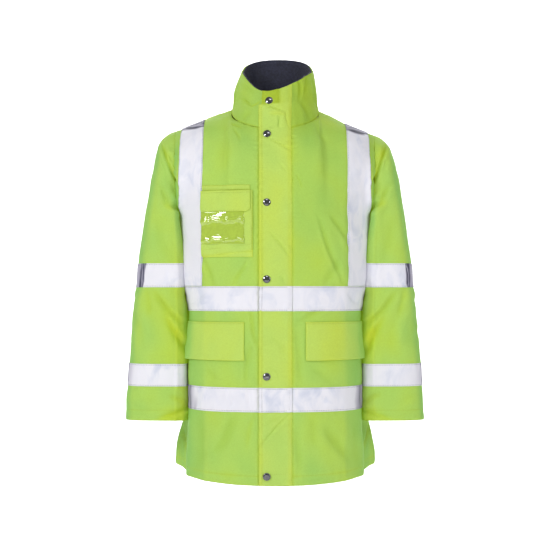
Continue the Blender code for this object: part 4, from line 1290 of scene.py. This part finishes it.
# Storm flap: the tab at its upper end and how it lies down along its sewn side

TAB_HEIGHT = 0.0350
TAB_RAISE = 0.0016
TAB_INSET = 0.0070
TAB_REACH = 0.0410
SEWN_FALL = 0.0090


def flap_fall(on):
    """How far the flap sinks to the panel along its sewn side."""
    return -(FLAP_THICK - 0.0008) * (1.0 - step(on.max() - on, 0.0, SEWN_FALL))


def flap_lift(up, on):
    """The tab at the collar stands up from the flap, and the flap falls to its sewn side."""
    tab = step(up - up.max(), -TAB_HEIGHT, 0.0015) * step(on, TAB_REACH - TAB_INSET, -0.0020)
    return flap_fall(on) + TAB_RAISE * tab + 0.0006 * hill(on, 0.0045, 0.003)


def flap_painted_glow(up, on):
    """Painted glow: the flap is painted warmer where it is folded and sewn along its two sides."""
    return 0.02 * (2.0 - step(on, 0.0070, 0.004) - step(on.max() - on, 0.006, 0.004))


def flap_painted_shade(up, on):
    """Painted shade: the tab is painted darker, and the rest of the flap's upper end a little."""
    below = up - up.max()
    tab = step(below, -TAB_HEIGHT, 0.003) * (1.0 - step(on, TAB_REACH - 0.008, 0.008))
    return 0.65 * tab + 0.25 * step(below, -0.040, 0.01)


class PARKA_OT_storm_flap(bpy.types.Operator):
    """Make the storm flap over the front opening and the collar"""

    bl_idname = "parka.storm_flap"
    bl_label = "Storm flap"

    def execute(self, context):
        flap = cloths()["flap"]
        top = flap.place_up(flap.shape[0] - 1.0)

        def left(up):
            return TAB_INSET * step(up, top - TAB_HEIGHT, 0.0015)

        patch_piece("storm_flap_cloth", "storm_flap", flap, (0, flap.shape[0] - 1), (0, 4), GAP,
                    FLAP_THICK, "trim_cloth", shell=0.0010, spacing=0.0020, lift=flap_lift,
                    tone=flap_painted_glow, left=left, painted_shade=flap_painted_shade)
        return {"FINISHED"}


def band_fall(up, on):
    """The bands sink with the storm flap along its sewn side."""
    return flap_fall(on)


def band_drop(on):
    """The upper body band reaches a little lower than its solid."""
    return -0.0042


def band_piece(level, name, cloth, rows, columns, start, turned, **more):
    """One stretch of a reflective band."""
    patch_piece("tape_" + level + "_" + name, "band_" + level + "_" + name, cloth, rows, columns,
                start, sizes().tape_thickness, "reflective_tape", shell=TAPE_SHELL,
                turned=turned, **more)


class PARKA_OT_tapes(bpy.types.Operator):
    """Make the reflective bands and braces"""

    bl_idname = "parka.tapes"
    bl_label = "Reflective tape"

    def execute(self, context):
        store = cloths()
        for level, rows, ring_rows, low in (
            ("lower", LOW_BAND_ROWS, LOW_SLEEVE_BAND, no_inset),
            ("upper", HIGH_BAND_ROWS, HIGH_SLEEVE_BAND, band_drop),
        ):
            for name, cloth, columns, start, lift in (
                ("front_right", "front_right", (0.02, LAST - 2), GAP, None),
                ("front_left", "front_left", (2, LAST - 0.02), GAP, None),
                ("storm_flap", "flap", (0.0, 4.0), 2 * GAP + FLAP_THICK, band_fall),
                ("back", "back", (0.02, BACK_LAST - 0.02), GAP, None),
            ):
                band_piece(level, name, store[cloth], rows, columns, start, level + "_body",
                           spacing=0.0030, lift=lift, low=low)
            for name in ("sleeve_right", "sleeve_left"):
                band_piece(level, name, store[name], ring_rows, (0, store[name].shape[1]), GAP,
                           level + "_sleeve", spacing=0.0024, merge=True)
        for side in ("right", "left"):
            brace_piece(side)
        return {"FINISHED"}


def brace_rows(side):
    """The cloth under a brace: up the front, over the shoulder and down the back."""
    front, back = cloths()["front_" + side], cloths()["back"]
    columns = (9.0, 11.0) if side == "left" else (LAST - 11.0, LAST - 9.0)
    behind = (4.0, 2.0) if side == "left" else (BACK_LAST - 2.0, BACK_LAST - 4.0)
    parts = []
    for cloth, edges in ((front, columns), (back, behind)):
        low, high = cloth.place_up(HIGH_BAND_ROWS[1] + 0.02), cloth.place_up(TOP_ROW)
        up = np.linspace(low, high, int((high - low) / 0.0030))
        across = np.linspace(0.0, 1.0, 19)
        row = np.interp(up, cloth.up, cloth.row)[:, None] + 0 * across[None, :]
        column = edges[0] + (edges[1] - edges[0]) * across[None, :] + 0 * row
        parts.append(cloth.at(row, column))
    points = np.vstack([parts[0][0][:-1], parts[1][0][::-1]])
    normals = np.vstack([parts[0][1][:-1], parts[1][1][::-1]])
    return points, normals


def brace_piece(side):
    """One reflective brace."""
    points, normals = brace_rows(side)
    run, width = run_along(points[:, 9]), run_along(points[len(points) // 4])
    up = np.repeat(run[:, None], len(width), axis=1)
    on = np.repeat(width[None, :], len(run), axis=0)
    height = GAP + sizes().tape_thickness + BRACE_ROUGH * waves(points, *BRACE_WAVES)
    height += 0.0006 * hill(run, 0.5 * run[-1], 0.02)[:, None]
    turned = turned_painted_shade("brace", points, normals)
    points = points + normals * height[..., None]
    sheet_piece("tape_brace_" + side, "brace_" + side, points, normals, up, on,
                "reflective_tape", TAPE_SHELL, tints={"turned": turned})


# Chest pocket: the slanting lower edge of its face and the fold under it

BAG_SLANT = 0.0125
BAG_FOLD = 0.0035


def bag_edge(on):
    """The height of the slanting lower edge of the pocket's face."""
    return 0.001 + BAG_SLANT * on / on.max()


def bag_face(up, on):
    """1 on the pocket's face and 0 on the fold that shows below and beside it."""
    side = on.max() - 0.0030 * np.clip(1.0 - up / 0.05, 0.0, 1.0)
    return step(up, bag_edge(on), FOLDED_EDGE) * step(on, side, -FOLDED_EDGE)


def bag_lift(up, on):
    """The pocket's face stands out over its fold and is a little crumpled."""
    crumple = 0.0005 * np.sin(on * 90.0 + 2.0 * np.sin(up * 60.0))
    return BAG_FOLD * bag_face(up, on) + crumple * np.clip(up / 0.02, 0, 1)


def bag_painted_glow(up, on):
    """Painted glow: the fold and the pocket's lower edge are painted warmer."""
    return 0.03 * (1.0 - bag_face(up, on)) + 0.05 * hill(up, bag_edge(on), 0.004)


def top_flap_lift(up, on):
    """The pocket's flap bows over the pocket's face and waves along its fold."""
    share = up / up.max()
    return BAG_FOLD + 0.0008 * (np.sin(on * 55.0 + 0.8) * share + 1 - share)


def window_lift(up, on):
    """Crumples pressed into the clear film: one strong fold high up and a weak one below."""
    wave = up + 0.0016 * np.sin(on * 130.0) + 0.0010 * np.sin(on * 331.0 + 1.0)
    fold = 0.0026 * hill(wave, 0.0500, 0.0042) + 0.0012 * hill(wave, 0.0560, 0.0018)
    fold += 0.0015 * hill(wave, 0.0085, 0.0028)
    fine = 0.0002 * np.sin(up * 150.0 + 2.2 * np.sin(on * 75.0))
    return BAG_FOLD + (fold + fine) * step(np.minimum(up, up.max() - up) / 0.004)


class PARKA_OT_chest_pocket(bpy.types.Operator):
    """Make the chest pocket with its strip, flap and clear window"""

    bl_idname = "parka.chest_pocket"
    bl_label = "Chest pocket"

    def execute(self, context):
        cloth, columns = cloths()["front_right"], (LAST - 9, LAST - 3)
        on_bag = 2 * GAP + POCKET_THICK
        rounding = corner(0.011)
        patch_piece("pocket_bag", "chest_pocket", cloth, (17, 23), columns, GAP, POCKET_THICK,
                    "trim_cloth", spacing=0.0018, lift=bag_lift, tone=bag_painted_glow)
        patch_piece("pocket_strip", "chest_pocket_strip", cloth, (23, 24), columns, GAP,
                    POCKET_THICK, "trim_cloth", spacing=0.0025,
                    right=lambda up: 0.0055 + 0.0 * up)
        patch_piece("pocket_flap", "chest_pocket_flap", cloth, (21, 23), columns, on_bag,
                    POCKET_THICK, "trim_cloth", spacing=0.0016, lift=top_flap_lift,
                    left=lambda up: 0.5 * rounding(up), right=lambda up: 0.0050 + rounding(up))
        patch_piece("pocket_window", "chest_pocket_window", cloth, (18, 21),
                    (columns[0] + 0.05, columns[1] - 1), on_bag, 0.0008, "clear_window",
                    shell=0.0004, spacing=0.0010, lift=window_lift)
        return {"FINISHED"}


def low_flap_lift(side):
    """The lower pocket flaps stand off the body towards their free edge."""

    def lift(up, on):
        away = on / on.max() if side > 0 else 1.0 - on / on.max()
        down = 1.0 - up / up.max()
        return down * (0.0015 + 0.0065 * away ** 3) + 0.0008 * np.sin(on * 60.0) * down

    return lift


def low_flap_painted_shade(side):
    """Painted shade: the lower pocket flaps are painted greener near their outer side."""

    def tone(up, on):
        away = on / on.max() if side > 0 else 1.0 - on / on.max()
        return 0.03 - 0.14 * hill(away, 0.86, 0.10)

    return tone


class PARKA_OT_low_flaps(bpy.types.Operator):
    """Make the two lower pocket flaps"""

    bl_idname = "parka.low_flaps"
    bl_label = "Lower pocket flaps"

    def execute(self, context):
        rounding = corner(0.003)

        def outer(up):
            return rounding(up) - 0.0050 * np.clip(1.0 - up / 0.070, 0.0, 1.0)

        for side, name, columns in ((-1, "right", (LAST - 11, LAST - 4)), (1, "left", (4, 11))):
            left, right = (rounding, outer) if side > 0 else (outer, rounding)
            patch_piece("low_flap_" + name, "pocket_flap_" + name, cloths()["front_" + name],
                        LOW_FLAP_ROWS, columns, GAP, FLAP_THICK, "trim_cloth", shell=0.0012,
                        spacing=0.0030, lift=low_flap_lift(side), tone=low_flap_painted_shade(side),
                        left=left, right=right)
        return {"FINISHED"}


# A snap's profile: share of its radius and height
SNAP_PROFILE = [
    (0.0, 0.0030), (0.30, 0.00295), (0.55, 0.0027), (0.72, 0.0023), (0.82, 0.0018),
    (0.86, 0.00175), (0.91, 0.0019), (0.97, 0.0017), (1.0, 0.0010), (0.99, 0.0003), (0.94, 0.0),
]


def snap_mesh(radius, segments):
    """A snap's domed cap with a rolled rim, turned about Z."""
    bm = bmesh.new()
    points = [bm.verts.new((share * radius, 0.0, z)) for share, z in SNAP_PROFILE]
    for a, b in zip(points, points[1:]):
        bm.edges.new((a, b))
    bmesh.ops.spin(bm, geom=bm.verts[:] + bm.edges[:], cent=(0, 0, 0), axis=(0, 0, 1),
                   angle=2 * math.pi, steps=segments, use_merge=True)
    bmesh.ops.remove_doubles(bm, verts=bm.verts, dist=0.00002)
    rim = [e for e in bm.edges if e.is_boundary]
    bmesh.ops.contextual_create(bm, geom=rim)
    bmesh.ops.recalc_face_normals(bm, faces=bm.faces)
    for face in bm.faces:
        face.smooth = len(face.verts) < 8
    return bm


class PARKA_OT_snaps(bpy.types.Operator):
    """Make the domed snaps on the storm flap"""

    bl_idname = "parka.snaps"
    bl_label = "Snaps"

    def execute(self, context):
        flap = cloths()["flap"]
        for name in SNAPS:
            low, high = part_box(name)
            middle = (Vector(low) + Vector(high)) / 2
            gaps = np.abs(flap.points[..., 2] - middle.z) + np.abs(flap.points[..., 0] - middle.x)
            i, j = np.unravel_index(np.argmin(gaps), gaps.shape)
            around = flap.normals[max(i - 3, 0):i + 4, max(j - 3, 0):j + 4].reshape(-1, 3)
            facing = Vector(around.mean(axis=0)).normalized()
            turn = Vector((0, 0, 1)).rotation_difference(facing).to_matrix().to_4x4()
            bm = snap_mesh(sizes().snap_radius, sizes().snap_segments)
            sink = 0.0015 - (TAB_RAISE if name == "snap_collar" else 0.0)
            bm.transform(Matrix.Translation(middle - facing * sink) @ turn)
            item = make_object(name + "_cap", bm, "snap_metal")
            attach(item, "root")
            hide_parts(name)
        return {"FINISHED"}


def stitch_run(points, normals, lift):
    """Places, directions and outward directions of the stitches along a line."""
    pitch = sizes().stitch_pitch
    run = run_along(points)
    count = int(run[-1] / pitch)

    def read(values, spots):
        return np.stack([np.interp(spots, run, values[:, k]) for k in range(3)], axis=1)

    spots = (np.arange(count) + 0.5) * pitch
    where, out = read(points + normals * np.reshape(lift, (-1, 1)), spots), read(normals, spots)
    ahead = read(points, spots + 0.0005) - read(points, spots - 0.0005)
    found = []
    for k in range(count):
        z = Vector(out[k]).normalized()
        x = Vector(ahead[k])
        x = (x - z * x.dot(z)).normalized()
        turn = Matrix((x, z.cross(x), z)).transposed().to_4x4()
        found.append(Matrix.Translation(Vector(where[k])) @ turn)
    return found


def line_on(cloth, start, end, lift, rough=0.0):
    """Stitches along a straight line between two (row, column) places of a cloth."""
    run = math.hypot(float(cloth.place_up(end[0]) - cloth.place_up(start[0])),
                     float(cloth.place_on(end[1]) - cloth.place_on(start[1])))
    count = max(3, int(run / 0.003))
    row, column = np.linspace(start[0], end[0], count), np.linspace(start[1], end[1], count)
    points, normals = cloth.at(row, column)
    return stitch_run(points, normals, lift + rough * waves(points, *TAPE_WAVES))


def stitches_piece(name, runs, kind, half_width):
    """One piece of thread made of many small stitches."""
    whole = bmesh.new()
    half_length = sizes().stitch_length / 2
    part = bpy.data.meshes.new("stitch_part")
    for places in runs:
        for k in range(0, len(places), 60):
            bm = bmesh.new()
            for place in places[k:k + 60]:
                shape = place @ Matrix.Diagonal((half_length, half_width, 0.00022, 1.0))
                bmesh.ops.create_icosphere(bm, subdivisions=1, radius=1.0, matrix=shape)
            for face in bm.faces:
                face.smooth = True
            bm.to_mesh(part)
            bm.free()
            whole.from_mesh(part)
    bpy.data.meshes.remove(part)
    item = make_object(name, whole, kind)
    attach(item, "root")


def tape_runs():
    """The stitches along both edges of every band and brace."""
    store, runs = cloths(), []
    top = GAP + sizes().tape_thickness + 0.00025
    on_flap = top + GAP + FLAP_THICK

    def sew(name, start, end, lift=top):
        runs.append(line_on(store[name], start, end, lift, TAPE_ROUGH))

    for low, high, first in ((*LOW_BAND_ROWS, 0.10), (*HIGH_BAND_ROWS, -0.07)):
        for row in (low + first, high - 0.10):
            sew("front_right", (row, 0), (row, LAST - 2))
            sew("front_left", (row, 2), (row, LAST))
            sew("back", (row, 0), (row, BACK_LAST))
            sew("flap", (row, 0), (row, 3.5), on_flap)
        for column, sunk in ((0.07, 0.0), (0.42, 0.0), (3.62, 0.0008)):
            sew("flap", (low, column), (high, column), on_flap - sunk)
    for name in ("sleeve_right", "sleeve_left"):
        for low, high in (HIGH_SLEEVE_BAND, LOW_SLEEVE_BAND):
            for row in (low + 0.10, high - 0.10):
                sew(name, (row, 0), (row, store[name].shape[1]))
    for side in ("right", "left"):
        points, normals = brace_rows(side)
        for k, inner in ((0, 1), (18, 17)):
            edge = 0.5 * (points[:, k] + points[:, inner])
            rise = top + BRACE_ROUGH * waves(edge, *BRACE_WAVES)
            runs.append(stitch_run(edge, normals[:, k], rise))
    return runs


def cloth_runs():
    """The stitches of the flap, the hems, the seams and the pockets."""
    store = cloths()
    flap, collar = store["flap"], store["collar"]
    end = flap.shape[0] - 1.15
    tab = float(np.interp(flap.place_up(flap.shape[0] - 1.0) - TAB_HEIGHT, flap.up, flap.row))
    corner_row, round_sleeve = tab + 0.25, store["sleeve_right"].shape[1]
    left, right, collar_end = LAST - 9 + 0.12, LAST - 3 - 0.1, collar.shape[1] - 3.0
    top = GAP + FLAP_THICK + 0.0001
    sunk, on_tab, low_flap = top - 0.0012, top + TAB_RAISE, GAP + FLAP_THICK + 0.0010
    strip = GAP + POCKET_THICK + 0.0001
    bag = strip + BAG_FOLD
    pocket_flap = 2 * GAP + 2 * POCKET_THICK + BAG_FOLD + 0.0010
    window = pocket_flap - POCKET_THICK
    table = []
    for start, stop in ((0.1, LOW_BAND_ROWS[0]), (LOW_BAND_ROWS[1], HIGH_BAND_ROWS[0]),
                        (HIGH_BAND_ROWS[1], tab - 0.2)):
        for column, lift in ((0.08, top), (0.42, top + 0.0004), (3.62, sunk)):
            table.append(("flap", (start, column), (stop, column), lift))
    table += [
        ("flap", (tab - 0.2, 3.62), (end, 3.62), sunk),
        ("flap", (corner_row, 0.75), (end, 0.75), on_tab),
        ("flap", (corner_row, 0.75), (corner_row, 2.0), on_tab),
        ("flap", (0.14, 0.1), (0.14, 3.5), top),
        ("flap", (1.18, 0.1), (1.18, 3.5), top),
        ("front_right", (1.0, 0), (1.0, LAST), 0.0),
        ("front_left", (1.0, 0), (1.0, LAST), 0.0),
        ("back", (1.0, 0), (1.0, BACK_LAST), 0.0),
        ("front_left", (0.1, 2.12), (TOP_ROW - 0.1, 2.12), 0.0),
        ("sleeve_right", (21.0, 0), (21.0, round_sleeve), 0.0),
        ("sleeve_left", (21.0, 0), (21.0, round_sleeve), 0.0),
        ("collar", (0.2, 2.2), (0.2, collar_end), 0.0),
        ("collar", (len(COLLAR_ROWS) - 1.35, 2.2), (len(COLLAR_ROWS) - 1.35, collar_end), 0.0),
        ("front_right", (11.85, LAST - 11), (11.85, LAST - 4), low_flap),
        ("front_left", (11.85, 4), (11.85, 11), low_flap),
        ("front_right", (23.1, left), (23.1, right), strip),
        ("front_right", (23.9, left), (23.9, right), strip),
        ("front_right", (18.0, right - 0.1), (21.0, right - 0.1), bag),
        ("front_right", (17.55, left), (17.95, right - 0.1), bag),
        ("front_right", (21.14, left + 0.9), (21.14, right - 0.8), pocket_flap),
        ("front_right", (22.75, left), (22.75, right), pocket_flap),
        ("front_right", (18.1, LAST - 4.10), (20.9, LAST - 4.10), window),
        ("front_right", (18.1, left), (18.1, LAST - 4.12), window),
    ]
    return [line_on(store[name], start, stop, lift) for name, start, stop, lift in table]


class PARKA_OT_stitching(bpy.types.Operator):
    """Sew the stitches of tape, flaps, pocket, hem and collar"""

    bl_idname = "parka.stitching"
    bl_label = "Stitching"

    def execute(self, context):
        stitches_piece("tape_stitches", tape_runs(), "silver_thread", 0.00055)
        stitches_piece("cloth_stitches", cloth_runs(), "yellow_thread", 0.00036)
        return {"FINISHED"}


# Stage: the paper's height, wall and bend, and the lamps with place, aim, watts, width, height
PAPER_Z = -1.35
WALL_Y = 4.6
BEND = 1.2
JACKET = (0.0, 0.0, -0.35)
LAMPS = [
    ("left_light", (-2.3, -2.4, 0.9), JACKET, 57.0, 0.9, 0.9),
    ("right_light", (2.4, -2.2, 0.5), JACKET, 31.0, 0.9, 0.9),
    ("top_light", (0.0, -2.2, 2.0), JACKET, 12.0, 1.2, 0.5),
    ("low_light", (-0.2, -2.4, -0.85), JACKET, 4.0, 2.2, 0.3),
    ("back_light", (0.0, 3.0, 2.6), (0.0, WALL_Y, -0.9), 330.0, 7.0, 2.0),
]


class PARKA_OT_stage(bpy.types.Operator):
    """Make the white stage, the soft lights and the camera"""

    bl_idname = "parka.stage"
    bl_label = "Stage, lights and camera"

    def execute(self, context):
        scene = context.scene
        bm = bmesh.new()
        profile = [(-4.5, PAPER_Z), (WALL_Y - BEND, PAPER_Z)]
        for k in range(1, 9):
            turn = k / 8 * math.pi / 2
            profile.append((WALL_Y - BEND * (1 - math.sin(turn)),
                            PAPER_Z + BEND * (1 - math.cos(turn))))
        profile.append((WALL_Y, 5.0))
        points = [bm.verts.new((-6.0, y, z)) for y, z in profile]
        edges = [bm.edges.new(pair) for pair in zip(points, points[1:])]
        made = bmesh.ops.extrude_edge_only(bm, edges=edges)
        moved = [v for v in made["geom"] if isinstance(v, bmesh.types.BMVert)]
        bmesh.ops.translate(bm, verts=moved, vec=(12.0, 0.0, 0.0))
        bmesh.ops.recalc_face_normals(bm, faces=bm.faces)
        for face in bm.faces:
            face.smooth = True
        make_object("paper_floor", bm, "paper")

        world = bpy.data.worlds.new("white_room")
        world.use_nodes = True
        background = world.node_tree.nodes["Background"]
        background.inputs["Color"].default_value = (1.0, 1.0, 1.0, 1.0)
        background.inputs["Strength"].default_value = 0.28
        scene.world = world
        for name, place, aim, power, wide, high in LAMPS:
            lamp = bpy.data.lights.new(name, "AREA")
            lamp.energy = power
            lamp.shape = "RECTANGLE"
            lamp.size = wide
            lamp.size_y = high
            item = bpy.data.objects.new(name, lamp)
            item.location = place
            way = Vector(aim) - Vector(place)
            item.rotation_euler = way.to_track_quat("-Z", "Y").to_euler()
            scene.collection.objects.link(item)

        camera = bpy.data.cameras.new("camera")
        camera.lens = 75.53
        camera.sensor_width = 36.0
        camera.shift_y = 15.0 / 550.0
        camera.clip_end = 50.0
        item = bpy.data.objects.new("camera", camera)
        item.location = (0.0, -2.6, -0.403)
        item.rotation_euler = (math.pi / 2, 0.0, 0.0)
        scene.collection.objects.link(item)
        scene.camera = item
        scene.view_settings.view_transform = "Standard"
        scene.view_settings.look = "None"
        return {"FINISHED"}


class PARKA_PT_panel(bpy.types.Panel):
    """The jacket's sizes, colours and pieces"""

    bl_idname = "PARKA_PT_panel"
    bl_label = "Padded Parka"
    bl_space_type = "VIEW_3D"
    bl_region_type = "UI"
    bl_category = "Parka"

    def draw(self, context):
        for group in (context.scene.parka_sizes, context.scene.parka_colours):
            column = self.layout.column(align=True)
            for name in group.__annotations__:
                column.prop(group, name)
        column = self.layout.column(align=True)
        for piece in PIECES:
            column.operator(piece.bl_idname)


PIECES = (
    PARKA_OT_stage,
    PARKA_OT_panels,
    PARKA_OT_sleeves,
    PARKA_OT_collar,
    PARKA_OT_storm_flap,
    PARKA_OT_tapes,
    PARKA_OT_chest_pocket,
    PARKA_OT_low_flaps,
    PARKA_OT_snaps,
    PARKA_OT_stitching,
)
CLASSES = (ParkaSizes, ParkaColours, *PIECES, PARKA_PT_panel)


def register():
    """Add the classes and the scene's settings."""
    for item in CLASSES:
        bpy.utils.register_class(item)
    bpy.types.Scene.parka_sizes = PointerProperty(type=ParkaSizes)
    bpy.types.Scene.parka_colours = PointerProperty(type=ParkaColours)


def unregister():
    """Take the classes and the scene's settings away."""
    del bpy.types.Scene.parka_colours
    del bpy.types.Scene.parka_sizes
    for item in reversed(CLASSES):
        bpy.utils.unregister_class(item)


def main():
    """Build every piece."""
    register()
    for item in PIECES:
        group, name = item.bl_idname.split(".")
        getattr(getattr(bpy.ops, group), name)()


if __name__ == "__main__":
    main()
